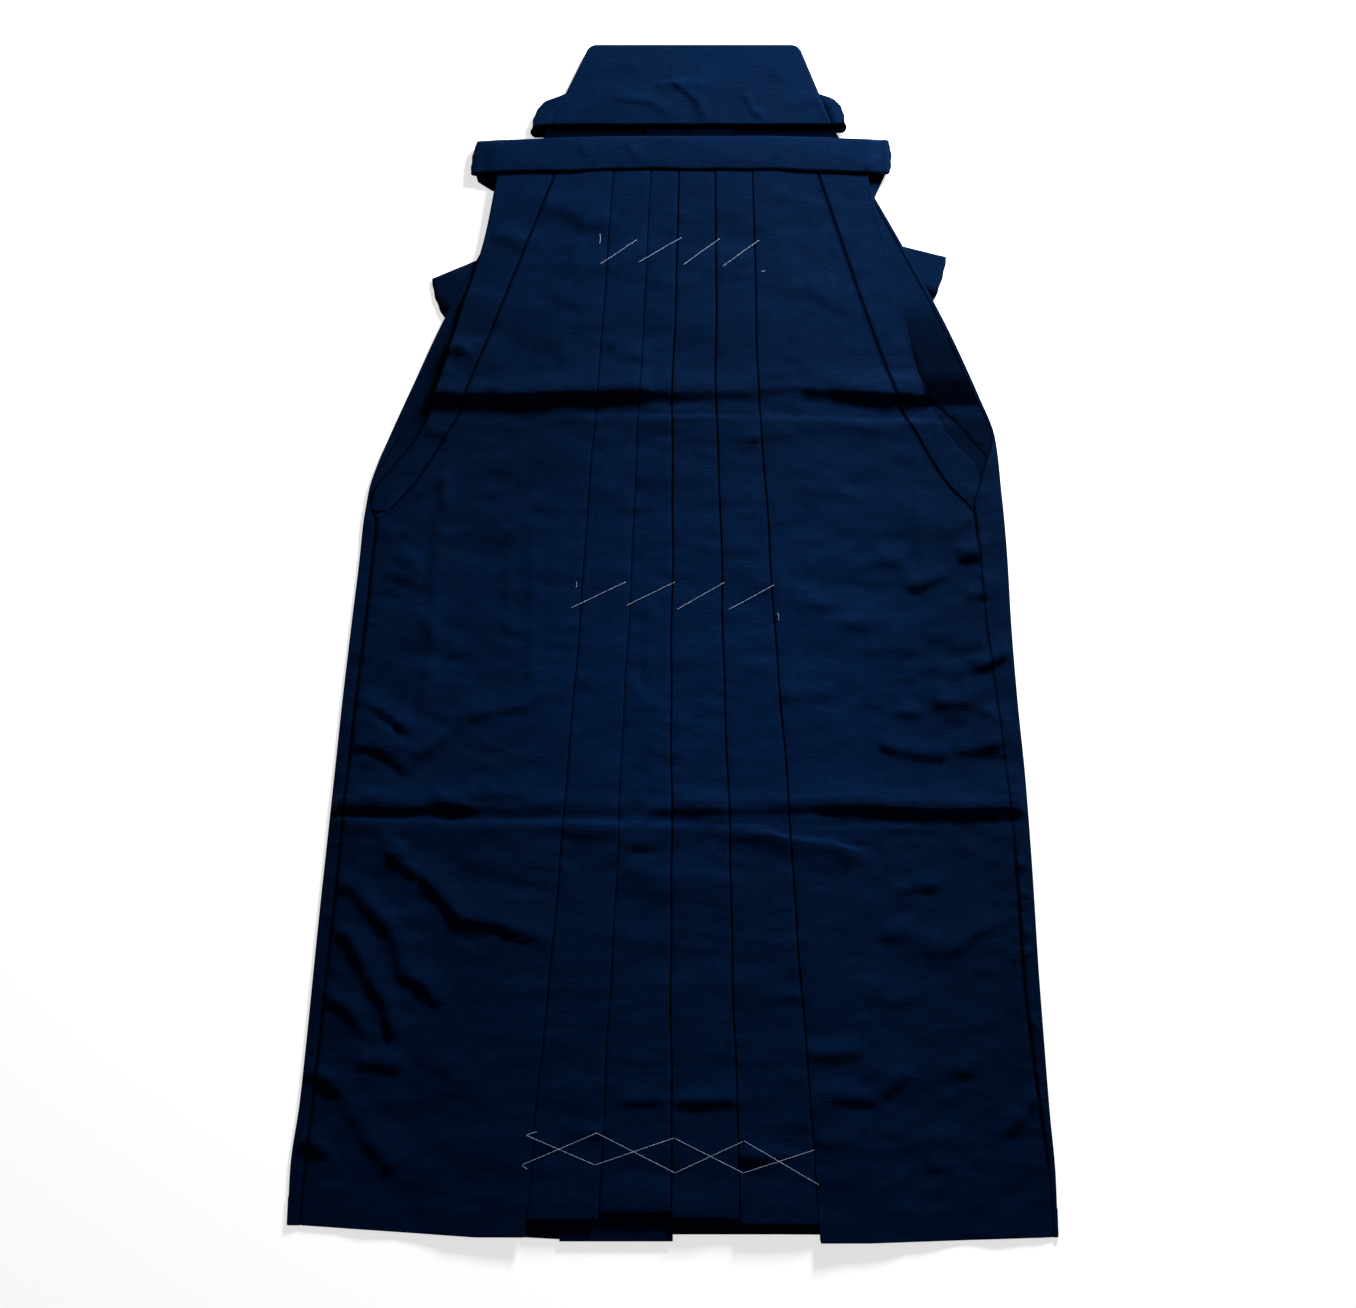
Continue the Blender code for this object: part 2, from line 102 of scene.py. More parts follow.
def columnLists(like, count):
    # columns set side by side: add appends one value to each list, 0 where none is given, as a
    # column as long as like, and joined puts each list together
    lists = [[] for _ in range(count)]

    def add(*values):
        for held, value in zip(lists, values + (0.0,) * (count - len(values))):
            held.append(value * np.ones_like(like))

    def joined():
        return [np.concatenate(held, axis=1) for held in lists]

    return add, joined


pleats = {
    "waistDepth": 15.0, "hemDepth": 38.0, "bend": 0.725, "shelf": 3.0, "shelfEnd": 2.2,
    "foldDowns": (0.0, 210.0, 568.0, 900.0),
    # x of each fold at those four places, then the hems of the strips outside and beyond it
    "right": ((-52.5, -66.8, -92.0, -120.6, 909.8, 895.5), (-20.0, -29.6, -45.9, -60.9, 894.6, 889.5)),
    "left": ((70.2, 75.0, 98.5, 120.4, 914.6, 899.5), (37.8, 38.4, 47.8, 56.0, 898.6, 894.5),
             (6.2, 0.4, -0.5, -0.4, 893.8, 892.5)),
    "centreHem": 889.0,
    # a fold strays this far from its line, in waves of a share, a length and a phase, between
    # these heights
    "wander": 0.5, "stray": ((1.0, 41.0, 1), (0.7, 17.0, 2)), "strayFrom": (30, 120),
    "strayTo": (850, 900),
    # painted shade in the groove beside each fold, at the four places
    "shadeFactor": {"right": ((0.35, 0.2, 0.5, 0.7), (0.2, 0.15, 0.2, 0.75)),
             "left": ((0.8, 0.9, 1.0, 1.0), (1.0, 1.0, 1.0, 1.0), (1.0, 1.0, 1.0, 1.0))},
    # at distances past a fold, the next strip's level and its painted shade
    "groove": ((0.0, 0.25, 1.0), (0.6, 0.35, 1.0), (1.2, 0.9, 0.75), (2.0, 1.5, 0.12), (3.4, 1.7, 0.0),
               (5.5, 1.78, 0.0)),
}
# x of the side folds and flaps, and of the edges beside the side openings, at heights
sides = {"names": ("down", "rightFold", "leftFold", "rightFlap", "leftFlap"), "rows": (
    (-45, -108.0, 140.0, -100.0, 137.5), (66, -164.6, 200.7, -156.6, 198.0),
    (132, -198.5, 234.5, -190.5, 231.5), (199, -228.5, 264.3, -220.5, 261.5),
    (237, -244.6, 277.8, -236.6, 275.3), (260, -253.7, 280.3, -248.5, 267.9),
    (282, -260.5, 281.9, -258.4, 261.8), (295, -262.6, 283.0, -259.4, 257.9),
    (311, -264.9, 284.2, -254.0, 259.8), (345, -267.8, 286.2, -257.0, 262.5),
    (397, -273.0, 288.0, -261.4, 266.4), (466, -279.6, 292.0, -268.2, 274.5),
    (530, -285.0, 297.0, -274.0, 281.0), (600, -291.0, 300.8, -279.8, 287.4),
    (635, -294.0, 302.3, -282.4, 289.4), (685, -298.0, 304.2, -286.8, 291.5),
    (750, -303.0, 307.6, -292.3, 297.3), (805, -307.6, 310.8, -296.8, 303.4),
    (860, -314.0, 314.6, -301.8, 310.0), (905, -315.2, 315.2, -304.5, 312.0))}
openings = {"names": ("down", "rightEdge", "leftEdge", "rightPleat", "leftPleat"), "rows": (
    (-14, -151.0, 166.5, -96.5, 121.0), (0, -153.2, 169.2, -101.5, 125.4),
    (60, -164.0, 182.8, -124.5, 144.5), (125, -183.6, 198.7, -149.4, 165.2),
    (198, -204.4, 218.4, -177.2, 191.0), (212, -209.0, 233.0, -181.5, 196.0),
    (237, -221.0, 256.4, -195.4, 209.8), (260, -238.6, 272.5, -209.0, 222.7),
    (282, -255.8, 268.5, -223.7, 237.6), (295, -259.0, 263.5, -235.4, 250.5),
    (303, -257.0, 261.5, -242.5, 257.4))}
legs = {
    "right": {"inward": 1, "seamHem": 900.2, "centreHem": 913.0},
    "left": {"inward": -1, "seamHem": 909.8, "centreHem": 907.4},
}


def lineIn(table, name, down):
    # x of a named line of a table at each height
    columns = dict(zip(table["names"], np.array(table["rows"], float).T))
    return curveThrough(columns["down"], columns[name], down)


def sideLine(name, down):
    return lineIn(sides, name, down)


def openingLine(name, down):
    return lineIn(openings, name, down)


def foldLine(fold, down):
    # a fold runs straight between its four places, and strays a little in two slow waves
    below = np.interp(down, pleats["foldDowns"], fold[:4])
    above = fold[0] + (fold[1] - fold[0]) / pleats["foldDowns"][1] * down
    stray = waves([(share, length, turn * fold[0]) for share, length, turn in pleats["stray"]], down)
    fade = smooth(*pleats["strayFrom"], down) * (1 - smooth(*pleats["strayTo"], down))
    return np.where(down < 0, above, below) + pleats["wander"] * stray * fade


def pleatDepth(down):
    # how deep the front pleats are, growing evenly from the waist to the hem
    return mix(pleats["waistDepth"], pleats["hemDepth"], down / garment["hemLine"])


backPleat = {"waistDepth": 40.0, "hemDepth": 92.0, "centreWaist": 14.0, "slack": 0.35}


def backPleatDepth(down):
    # and the back pleats
    return mix(backPleat["waistDepth"], backPleat["hemDepth"], down / garment["hemLine"])


def backCentre(down):
    # x of the middle of the back, which comes over to 0 at the hem
    return mix(backPleat["centreWaist"], 0.0, smooth(garment["backTop"], garment["hemLine"], down))


heights = {
    # how much the ties lift the front, and from where to where that fades
    "ties": 3.7, "tiesEnd": 132.0, "flatFrom": 190.0,
    # the room below the front at its sides, high up and low down, and where it changes
    "sideTop": 3.0, "sideLow": 1.65, "sideFrom": 120.0, "sideTo": 200.0,
    # the room over the back's pleat, how far past the pleat it stays level and then slopes
    "centre": 4.5, "centreFlat": 8.0, "centreSlope": 120.0,
    # what the band adds, and where that fades
    "band": 1.6, "bandFrom": 4.0, "bandTo": 60.0,
    # the level of the front's outer edge, the share of the way in where it climbs, and where the
    # back's turned edge rises to it
    "edgeLevel": 1.15, "ramp": 0.45, "flapRise": (236.0, 256.0),
}

# Creases across the whole front, from the packing. Each has its section, the share of its
# height at places across, and how far down it is moved there.
packCreases = {
    "upper": {
        "section": ((145, 0.0), (166, 2.6), (178, 4.6), (186, 7.0), (191.5, 8.8), (195.5, 9.5), (198.5, 9.3),
                    (203, 5.0), (207, 1.2), (212, 0.2), (225, 0.0)),
        "share": ((-260, 0.85), (-209, 1.0), (-150, 1.0), (-60, 0.95), (-30, 0.9), (-14, 0.5), (60, 0.35),
                  (105, 0.38), (128, 0.6), (150, 0.85), (180, 0.92), (214, 0.8), (250, 0.8), (290, 0.7)),
        "shift": ((-260, 1), (-209, 0), (-149, 1.5), (-90, 0), (-26, -1), (60, -2), (115, -4), (150, -2),
                  (180, 0), (214, 1), (290, 3)),
    },
    "upperSecond": {
        "section": ((216, 0.0), (218.5, 0.3), (221, 2.0), (223.5, 2.3), (235, 0.8), (252, 0.0)),
        "share": ((-240, 0.2), (-60, 0.25), (-34, 0.5), (-10, 1.0), (70, 0.85), (150, 1.0), (226, 1.1),
                  (246, 0.6), (280, 0.3)),
        "shift": ((-240, 0), (-26, -1), (70, 0), (150, 1.5), (227, 3), (280, 6)),
    },
    "lower": {
        "section": ((522, 0.0), (538, 1.7), (546, 3.9), (551, 5.6), (555.5, 5.7), (559.5, 3.2), (563, 0.6),
                    (567, 0.1), (576, 0.0)),
        "share": ((-300, 0.8), (-262, 1.0), (-228, 0.8), (-212, 0.7), (-190, 1.15), (-168, 0.8),
                  (-152, 0.3), (-60, 0.25), (0, 0.45), (60, 0.5), (110, 0.6), (150, 1.0), (215, 1.1),
                  (282, 1.0), (305, 0.6)),
        "shift": ((-300, -1), (-262, 0), (-217, 1), (-192, -3), (-162, 1), (-60, 2), (60, 2), (150, -1),
                  (215, 2), (282, 2)),
    },
    "lowerSecond": {
        "section": ((564, 0.0), (567, 0.4), (570, 2.4), (573, 2.7), (585, 1.1), (604, 0.0)),
        "share": ((-300, 0.5), (-278, 1.0), (-225, 0.95), (-187, 0.8), (-110, 1.0), (-70, 1.2),
                  (-51, 1.1), (-30, 0.6), (0, 0.5), (40, 0.6), (62, 0.3), (160, 0.15), (300, 0.2)),
        "shift": ((-300, -3), (-187, 0), (-51, 2), (0, 4), (40, 5), (300, 3)),
    },
}

relief = {
    "wrinkles": 1.3, "uneven": 0.18, "ripples": (6.5, 15.0),
    "ends": (0.2, 8.0),     # a wrinkle's ends are this share of it, or this long
    "endHeight": 0.2,
    # the packing creases waver by the product of two waves and by a third
    "waver": (0.5, 6.1, 17.0), "waverFine": ((0.35, 3.3, 1.0),),
}
# Wrinkles, by place: the line each follows as x, down, x, down and so on, its height, and how far
# it reaches to its right and left hand going along the line. One that runs towards +x has the
# hem on its right.
wrinkles = {
    "rightThigh": (
        ((-222, 292, -206, 281, -197, 270), 1.5, 4, 9), ((-252, 357, -235, 358, -214, 366), 1.8, 4, 10),
        ((-240, 338, -213, 357), 1.3, 3.5, 9), ((-217, 389, -203, 411), 1.2, 4, 9),
        ((-247, 318, -210, 353), 0.9, 12, 4), ((-233, 392, -204, 410), 0.6, 5, 10),
        ((-271, 465, -251, 472, -236, 482, -222, 494), 2.5, 3.2, 9),
        ((-266, 470, -238, 494, -214, 515), 1.2, 10, 2.6),
        ((-222, 518, -202, 500, -184, 490), 0.9, 9, 2.6),
        ((-273, 503, -247, 507, -232, 518, -220, 530), 2.6, 3.5, 12),
        ((-221, 517, -191, 494, -173, 480, -147, 475, -124, 470, -96, 457), 1.7, 4, 12),
        ((-178, 546, -122, 546), 1.1, 4, 9),
    ),
    "rightShin": (
        ((-246, 577, -222, 596), 1.2, 11, 4),
        ((-213, 613, -208, 617, -193, 632, -178, 650, -160, 653, -145, 655, -129, 663), 3.2, 3.5, 17),
        ((-240, 592, -227, 604, -219, 611, -210, 617), 2.2, 2.6, 12),
        ((-131, 662, -103, 671), 1.7, 2.6, 11),
        ((-283, 620, -267, 626, -257, 638, -246, 648, -229, 672, -226, 695, -210, 703, -190, 724), 2.7, 3.5,
          12),
        ((-281, 658, -269.5, 667, -255, 695, -237, 724, -231, 752), 2.8, 3.4, 11),
        ((-290, 713, -270, 725, -261, 736, -256, 746), 2.7, 3.2, 10),
        ((-295, 648, -281, 649), 1.0, 2.5, 5), ((-284, 690, -275, 700), 1.1, 2.5, 5),
        ((-265, 768, -242, 771, -220, 772), 2.3, 4, 10), ((-214, 757, -198, 770, -176, 782), 0.9, 6, 13),
        ((-309, 777, -286, 785, -270, 800), 3.0, 3.5, 12), ((-268, 806, -248, 836, -228, 858), 1.9, 5, 13),
        ((-309, 837, -293, 840, -282, 849), 2.8, 3.2, 8), ((-176, 603, -146, 611, -109, 601), 0.9, 5, 10),
        ((-143, 635, -113, 637), 1.3, 4, 9),
    ),
    "middle": (
        ((-36, 443, -26, 464, -3, 469), 0.8, 9, 3), ((-50, 588, -1, 589), 1.3, 5, 10),
        ((-42, 770, -2, 772), 0.8, 4, 9), ((-51, 806, -32, 809, -2, 809), 1.5, 4, 9),
        ((0, 807, 30, 806, 57, 804), 2.0, 4.5, 9), ((80, 816, 108, 824), 0.6, 4, 9),
        ((54, 850, 68, 850, 83, 847), 3.0, 6, 9), ((54, 838, 70, 837), 1.5, 4, 7),
        ((-72, 834, -55, 834), 1.6, 4, 7),
    ),
    "leftThigh": (
        ((241, 342, 267, 341), 2.7, 2.5, 8), ((196, 368, 209, 367, 221, 362, 237, 356), 2.8, 4.2, 9),
        ((249, 377, 272, 372), 2.1, 3.5, 8), ((127, 399, 210, 396), 0.9, 16, 5),
        ((161, 423, 185, 421, 210, 421), 1.9, 7, 15), ((233, 420, 268, 416), 1.4, 5, 10),
        ((252, 440, 268, 434, 280, 427, 289, 421), 3.0, 3.7, 9),
        ((218, 466, 237, 468, 255, 467), 2.9, 4.8, 12), ((249, 466, 262, 458, 273, 453), 1.8, 5, 11),
        ((188, 475, 215, 476), 1.3, 5, 10), ((172, 502, 189, 508, 210, 512, 234, 513), 2.2, 3.8, 11),
        ((236, 509, 257, 507, 282, 502), 2.1, 3.8, 10), ((2, 329, 38, 334, 68, 341), 0.7, 6, 12),
        ((60, 464, 142, 461), 0.5, 6, 12), ((113, 543, 139, 543), 0.8, 4, 9),
        ((238, 335, 264, 337), 1.6, 2.5, 7), ((176, 345, 202, 341), 1.0, 4, 9),
        ((262, 361, 279, 371), 1.6, 3, 7), ((216, 438, 251, 443), 1.2, 4, 10),
        ((260, 475, 274, 478), 1.5, 3, 7), ((242, 316, 258, 308), 1.5, 4, 8),
        ((250, 333, 270, 331), 1.9, 4, 9), ((101, 373, 136, 386, 158, 403), 0.8, 6, 12),
        ((85, 463, 137, 461), 0.8, 5, 12),
    ),
    "leftShin": (
        ((64, 574, 98, 584, 130, 587, 158, 595), 2.9, 13, 1.6),
        ((185, 629, 202, 625, 213, 623, 226, 624), 1.8, 3, 9), ((172, 664, 204, 664), 1.35, 4, 10),
        ((207, 674, 222, 677, 237, 675, 253, 661, 272, 653), 2.1, 4.5, 12),
        ((158, 721, 173, 717, 197, 717), 1.8, 5, 12), ((115, 759, 135, 760, 160, 755), 2.4, 5, 11),
        ((122, 789, 141, 793, 168, 795, 181, 783, 199, 772), 2.3, 5, 12),
        ((115, 829, 130, 828, 146, 824), 2.1, 4.5, 9), ((208, 847, 235, 847), 1.95, 4, 9),
        ((234, 777, 252, 775), 1.0, 3, 7), ((289, 798, 303, 794), 1.1, 3, 6),
        ((277, 827, 292, 806), 1.3, 3, 7), ((286, 603, 296, 607), 1.6, 2.5, 5),
        ((289, 629, 301, 631), 1.6, 2.5, 5), ((290, 659, 300, 665), 1.6, 2.5, 5),
        ((290, 683, 300, 676), 1.6, 2.5, 5), ((296, 734, 304, 741), 1.6, 2.5, 5),
        ((294, 797, 307, 800), 1.6, 2.5, 5), ((264, 828, 286, 810, 300, 797), 1.5, 3.5, 9),
        ((74, 715, 110, 713), 0.9, 5, 11), ((175, 606, 206, 609), 0.9, 4, 9),
        ((206, 748, 257, 736), 1.1, 5, 12), ((215, 781, 256, 763), 1.1, 5, 12),
    ),
    "top": (
        ((61, 241, 77, 238), 1.3, 2.2, 6), ((-146, 8, -120, 19, -64, 26), 0.8, 6, 12),
        ((-117, 30, -98, 33, -78, 44, -50, 49), 1.3, 6, 12), ((-163, 54, -141, 61, -124, 68), 1.5, 5, 10),
        ((-93, 80, -64, 86, -38, 84), 1.1, 6, 12), ((-106, 116, -62, 120), 0.8, 5, 10),
        ((-120, 144, -101, 158, -87, 172), 0.8, 5, 11), ((-167, 168, -142, 177), 0.9, 4, 9),
        ((-23, 46, 5, 55), 0.7, 4, 8), ((-48, 116, -26, 113), 0.7, 4, 8),
        ((-57, 157, -20, 171), 0.7, 5, 10), ((-199, 161, -186, 158, -174, 163), 3.4, 2.6, 7),
        ((-214, 231, -199, 234, -190, 237), 1.6, 2.8, 7), ((-158, 54, -132, 60), 0.7, 6, 11),
        ((-145, 28, -65, 42, -20, 53), 0.6, 8, 15), ((-137, 149, -88, 151), 0.9, 8, 14),
        ((88, 101, 136, 113, 171, 127), 0.9, 7, 14), ((103, 3, 127, 11, 139, 17), 1.1, 5, 11),
        ((80, 86, 110, 86), 0.8, 5, 11), ((115, 107, 143, 101), 0.9, 5, 11),
        ((176, 144, 192, 148), 0.6, 4, 8), ((64, 240, 104, 235), 0.9, 3.5, 8),
    ),
    "presses": (
        ((-197.3, 266, -196.6, 283, -196.8, 301), 1.9, 1.9, 6),
        ((-198, 271, -204, 350, -204, 407, -214, 482), 0.8, 3, 8), ((208, 279, 212, 353), 0.7, 3, 8),
        ((-139, 311, -143, 433), 0.5, 3, 6), ((-121, 318, -120, 454), 0.55, 3, 6),
        ((-50, 266, -49, 371), 0.5, 3, 6), ((-21, 376, -21, 449), 0.5, 3, 6),
    ),
}
# slow waves that differ in direction, and short creases where the cloth was crushed
rumple = {"waves": 36, "shortest": 13.0, "longest": 90.0, "height": 0.15, "turn": 0.42}
streaks = {
    "waves": 18, "shortest": 9.0, "longest": 30.0, "height": 0.38, "bend": 7.0, "turn": 0.25, "lift": 0.3,
    # lengths between which the slow waves are drawn: the bend's, then those that place a crease
    "bendLength": (25, 60), "across": (12, 30), "along": (16, 44), "sway": (30, 60),
    "swayAcross": 0.8, "swayAlong": (0.6, 37.0), "above": 0.5,
}


def rumpleHeight(x, down):
    # a sum of slow sine waves in seeded directions, mostly across the cloth
    rng = np.random.default_rng(8)
    total = np.zeros(np.broadcast(x, down).shape)
    for _ in range(rumple["waves"]):
        length = rng.uniform(rumple["shortest"], rumple["longest"])
        turn = rng.normal(0.0, rumple["turn"])
        phase = rng.uniform(0, 2 * math.pi)
        along = x * math.sin(turn) + down * math.cos(turn)
        total = total + math.sqrt(length / rumple["longest"]) * np.sin(2 * math.pi * along / length + phase)
    # stronger in some places than in others
    patch = 0.75 + 0.45 * np.sin(x / 47.0 + 1.3) * np.sin(down / 71.0) + 0.3 * np.sin(x / 83.0 - down / 59.0)
    return total * patch * rumple["height"]


def streakHeight(x, down):
    # short creases across the cloth: sine waves down it, bent by slow waves across it, each
    # only where the product of two more slow waves is high
    rng = np.random.default_rng(21)
    total = np.zeros(np.broadcast(x, down).shape)
    for _ in range(streaks["waves"]):
        length = rng.uniform(streaks["shortest"], streaks["longest"])
        phases = rng.uniform(0, 2 * math.pi, 4)
        turn = rng.normal(0.0, streaks["turn"])
        across = x * math.cos(turn) + down * math.sin(turn)
        along = down * math.cos(turn) - x * math.sin(turn)
        bend = streaks["bend"] * np.sin(across / rng.uniform(*streaks["bendLength"]) + phases[0])
        placeAcross = across / rng.uniform(*streaks["across"]) + phases[1]
        placeAcross = placeAcross + streaks["swayAcross"] * np.sin(along / rng.uniform(*streaks["sway"]))
        placeAlong = along / rng.uniform(*streaks["along"]) + phases[2]
        sway, swayLength = streaks["swayAlong"]
        place = np.sin(placeAcross) * np.sin(placeAlong + sway * np.sin(across / swayLength))
        total = total + (length / streaks["longest"] * smooth(streaks["above"], 1.0, place)
                         * np.sin(2 * math.pi * (along + bend) / length + phases[3]))
    return total * streaks["height"] + streaks["lift"]


def wrinkleHeight(table, x, down):
    # each wrinkle is height * exp(-(d/reach)^2) of the signed distance d from its line, with
    # its own reach on either hand, and fades towards both ends of the line
    total = np.zeros(np.broadcast(x, down).shape)
    for line, height, rightReach, leftReach in [row for rows in table.values() for row in rows]:
        points = np.array(line, float).reshape(-1, 2)
        lengths = np.hypot(*np.diff(points, axis=0).T)
        whole = lengths.sum()
        best = np.full(total.shape, 1e9)
        signed = np.zeros(total.shape)
        along = np.zeros(total.shape)
        for index, length in enumerate(lengths):
            start = points[index]
            step = (points[index + 1] - start) / length
            reach = np.clip((x - start[0]) * step[0] + (down - start[1]) * step[1], 0, length)
            offX = x - start[0] - reach * step[0]
            offDown = down - start[1] - reach * step[1]
            distance = np.hypot(offX, offDown)
            closer = distance < best
            best = np.where(closer, distance, best)
            side = np.sign(step[0] * offDown - step[1] * offX)
            signed = np.where(closer, side * distance, signed)
            along = np.where(closer, lengths[:index].sum() + reach, along)
        width = np.where(signed > 0, rightReach, leftReach)
        ends = np.minimum(along, whole - along) / min(relief["ends"][0] * whole, relief["ends"][1])
        fade = mix(relief["endHeight"], 1.0, smooth(0.0, 1.0, ends))
        short, long = relief["ripples"]
        uneven = 1 + relief["uneven"] * np.sin(along / short + 9 * height) * np.sin(along / long + whole)
        total = total + height * fade * uneven * np.exp(-(signed / width) ** 2)
    return total


def packHeight(x, down):
    # each crease's section at the distance down from its line, times its share at x, added up
    total = 0.0
    high, short, long = relief["waver"]
    waver = high * np.sin(x / short) * np.sin(x / long) + waves(relief["waverFine"], x)
    for crease in packCreases.values():
        shift = curveThrough(*np.array(crease["shift"], float).T, x) + waver
        share = curveThrough(*np.array(crease["share"], float).T, x)
        total = total + share * curveThrough(*np.array(crease["section"], float).T, down - shift)
    return total


seamGather = {
    "height": 0.42, "reach": 7.0, "waves": ((6.3, 1.0), (9.7, 0.8), (15.5, 0.9)),
    "from": (320.0, 360.0), "slant": 0.35, "outside": 0.6, "uneven": (0.6, 0.4, 23.0),
    "leftMore": (590, 640),     # the left seam has twice as much below these heights
}


def gatherHeight(x, down):
    # short ripples across each side seam: three sine waves along it that die away from it
    total = np.zeros(np.broadcast(x, down).shape)
    for side in ("right", "left"):
        inward = legs[side]["inward"]
        away = (x - sideLine(side + "Flap", down)) * inward
        slant = down + seamGather["slant"] * away
        wave = sum(share * np.sin(2 * math.pi * slant / length + 3 * length + inward)
                   for length, share in seamGather["waves"])
        reach = seamGather["reach"] * np.where(away > 0, 1.0, seamGather["outside"])
        least, change, long = seamGather["uneven"]
        uneven = least + change * np.sin(down / long + 2 * inward)
        more = 1 + (side == "left") * smooth(*seamGather["leftMore"], down)
        total = total + more * seamGather["height"] * uneven * wave * np.exp(-np.abs(away) / reach)
    return total * smooth(*seamGather["from"], down)


def reliefAt(x, down):
    # everything that stands up from the flat layers, fading at the band and at the side folds
    inside = np.minimum(x - sideLine("rightFold", down), sideLine("leftFold", down) - x)
    fade = smooth(-1.0, 8.0, inside) * smooth(2.0, 30.0, down)
    soft = packHeight(x, down) + relief["wrinkles"] * wrinkleHeight(wrinkles, x, down)
    soft = (soft + rumpleHeight(x, down) + streakHeight(x, down)) * fade
    return soft + gatherHeight(x, down) * smooth(-1.5, 2.0, inside)


# painted shade along the side seams, and how much of it is taken away, and between
# which heights, beside the wearer's left thigh
seamDark = {"right": (0.75, 0.0), "left": (1.0, 0.9), "fadeFrom": (318, 350), "fadeTo": (575, 610)}


def seamShade(side, down):
    # the seam's painted shade, less what is taken away between the two heights
    most, lost = seamDark[side]
    return most - lost * smooth(*seamDark["fadeFrom"], down) * (1 - smooth(*seamDark["fadeTo"], down))


def liftAt(down):
    # how much the ties lift the cloth that lies over them
    return heights["ties"] * (1 - smooth(heights["tiesEnd"], heights["flatFrom"], down))


def frontBase(x, down):
    # height of the lowest front layer: the room that the back takes below it, which falls away
    # from the back's pleat to the sides, and more at the band
    side = mix(heights["sideTop"], heights["sideLow"], smooth(heights["sideFrom"], heights["sideTo"], down))
    past = np.abs(x - backCentre(down)) - backPleatDepth(down) - heights["centreFlat"]
    room = mix(heights["centre"], side, smooth(0.0, heights["centreSlope"], past))
    room = room + heights["band"] * (1 - smooth(heights["bandFrom"], heights["bandTo"], down))
    return liftAt(down) + room


def layerHeight(x, down, level):
    # the layers are pressed together at the band
    packed = garment["pitch"] * mix(0.5, 0.85, smooth(0.0, 90.0, down))
    return frontBase(x, down) + garment["wall"] / 2 + level * packed


def edgeLevel(down):
    # the front's level at its outer edge, which comes down below the slit
    return heights["edgeLevel"] * (1 - smooth(garment["slitDown"], garment["slitFlat"], down))


def inMetres(x, down, z):
    # a point from its x, its distance down and its height
    return np.stack([x, garment["waistY"] - down, z], axis=-1) * 0.001


def gridNormals(points):
    # unit cross product of the directions along columns and along rows
    return unit(np.cross(np.gradient(points, axis=0), np.gradient(points, axis=1)))


def pathLength(x, z):
    # distance across the cloth from its first column, in metres, for the grain
    steps = np.hypot(np.diff(x, axis=1), np.diff(z, axis=1))
    return np.concatenate([np.zeros((len(x), 1)), np.cumsum(steps, axis=1)], axis=1) * 0.001


def sheetOf(x, down, z, dark, under=None):
    # a sheet's points, its places along the cloth, and the painted shade on its two sides
    uv = np.stack([pathLength(x, z), down * 0.001], axis=-1)
    return inMetres(x, down, z), uv, np.stack([dark, dark if under is None else under], axis=-1)


def turnUnder(points, uv, fold, up, rowsBack, drop=garment["turnDrop"] * 0.001):
    # the last row goes round a half circle of diameter drop, to the cloth's wrong side, and
    # then back under the rows before it
    normal = gridNormals(points) * up
    last = points[-1]
    ahead, uvAhead = unit(last - points[-2]), unit(uv[-1] - uv[-2])
    newPoints, newUv = [], []
    for angle in np.radians([35, 70, 110, 145, 180]):
        newPoints.append(last + ahead * drop / 2 * math.sin(angle)
                         - normal[-1] * drop / 2 * (1 - math.cos(angle)))
        newUv.append(uv[-1] + uvAhead * drop / 2 * angle)
    for back in rowsBack:
        newPoints.append(points[-1 - back] - normal[-1 - back] * drop)
        newUv.append(2 * uv[-1] - uv[-1 - back])
    newFold = np.repeat(fold[-1:], len(newPoints), axis=0)
    return np.concatenate([points, newPoints]), np.concatenate([uv, newUv]), np.concatenate([fold, newFold])


def turnColumns(points, uv, fold, up, backs, first, drop=garment["turnDrop"] * 0.001):
    # the same for the first or the last column; swapping rows and columns turns the normal
    # over, and so does reversing them
    swapped = [value.transpose(1, 0, 2) for value in (points, uv, fold)]
    if first:
        swapped = [value[::-1] for value in swapped]
    swapped = turnUnder(*swapped, up if first else -up, backs, drop)
    if first:
        swapped = [value[::-1] for value in swapped]
    return [value.transpose(1, 0, 2) for value in swapped]


def gridFaces(rows, columns, start, flip):
    # four-sided faces between neighbouring rows and columns
    index = start + np.arange(rows * columns).reshape(rows, columns)
    faces = np.stack([index[:-1, :-1], index[:-1, 1:], index[1:, 1:], index[1:, :-1]], axis=-1)
    faces = faces.reshape(-1, 4)
    return faces[:, ::-1] if flip else faces


def wallMesh(points, uv, fold, thick, up):
    # two copies of a grid half the thickness to either side, joined round the rim; up is 1
    # where rows crossed with columns gives the right side of the cloth, else -1; fold is the
    # painted shade on the right and the wrong side
    rows, columns = points.shape[:2]
    normal = gridNormals(points) * up
    outer = (points + normal * thick / 2).reshape(-1, 3)
    inner = (points - normal * thick / 2).reshape(-1, 3)
    count = rows * columns
    index = np.arange(count).reshape(rows, columns)
    rim = np.concatenate([index[0, :-1], index[:-1, -1], index[-1, :0:-1], index[:0:-1, 0]])
    nextRim = np.roll(rim, -1)
    sides = np.stack([rim, nextRim, nextRim + count, rim + count], axis=-1)
    top = gridFaces(rows, columns, 0, up > 0)
    bottom = gridFaces(rows, columns, count, up < 0)
    # the grid's own faces turn from row to column, so the rim turns with the lower sheet
    sides = sides if up > 0 else sides[:, ::-1]
    faces = np.concatenate([top, bottom, sides])
    flags = np.zeros(2 * count, int)
    flags[rim] = 1
    flags[rim + count] = 2
    flat = uv.reshape(-1, 2)
    shades = np.concatenate([fold[..., 0].ravel(), fold[..., 1].ravel()])
    return np.concatenate([outer, inner]), faces.tolist(), np.concatenate([flat, flat]), flags, shades
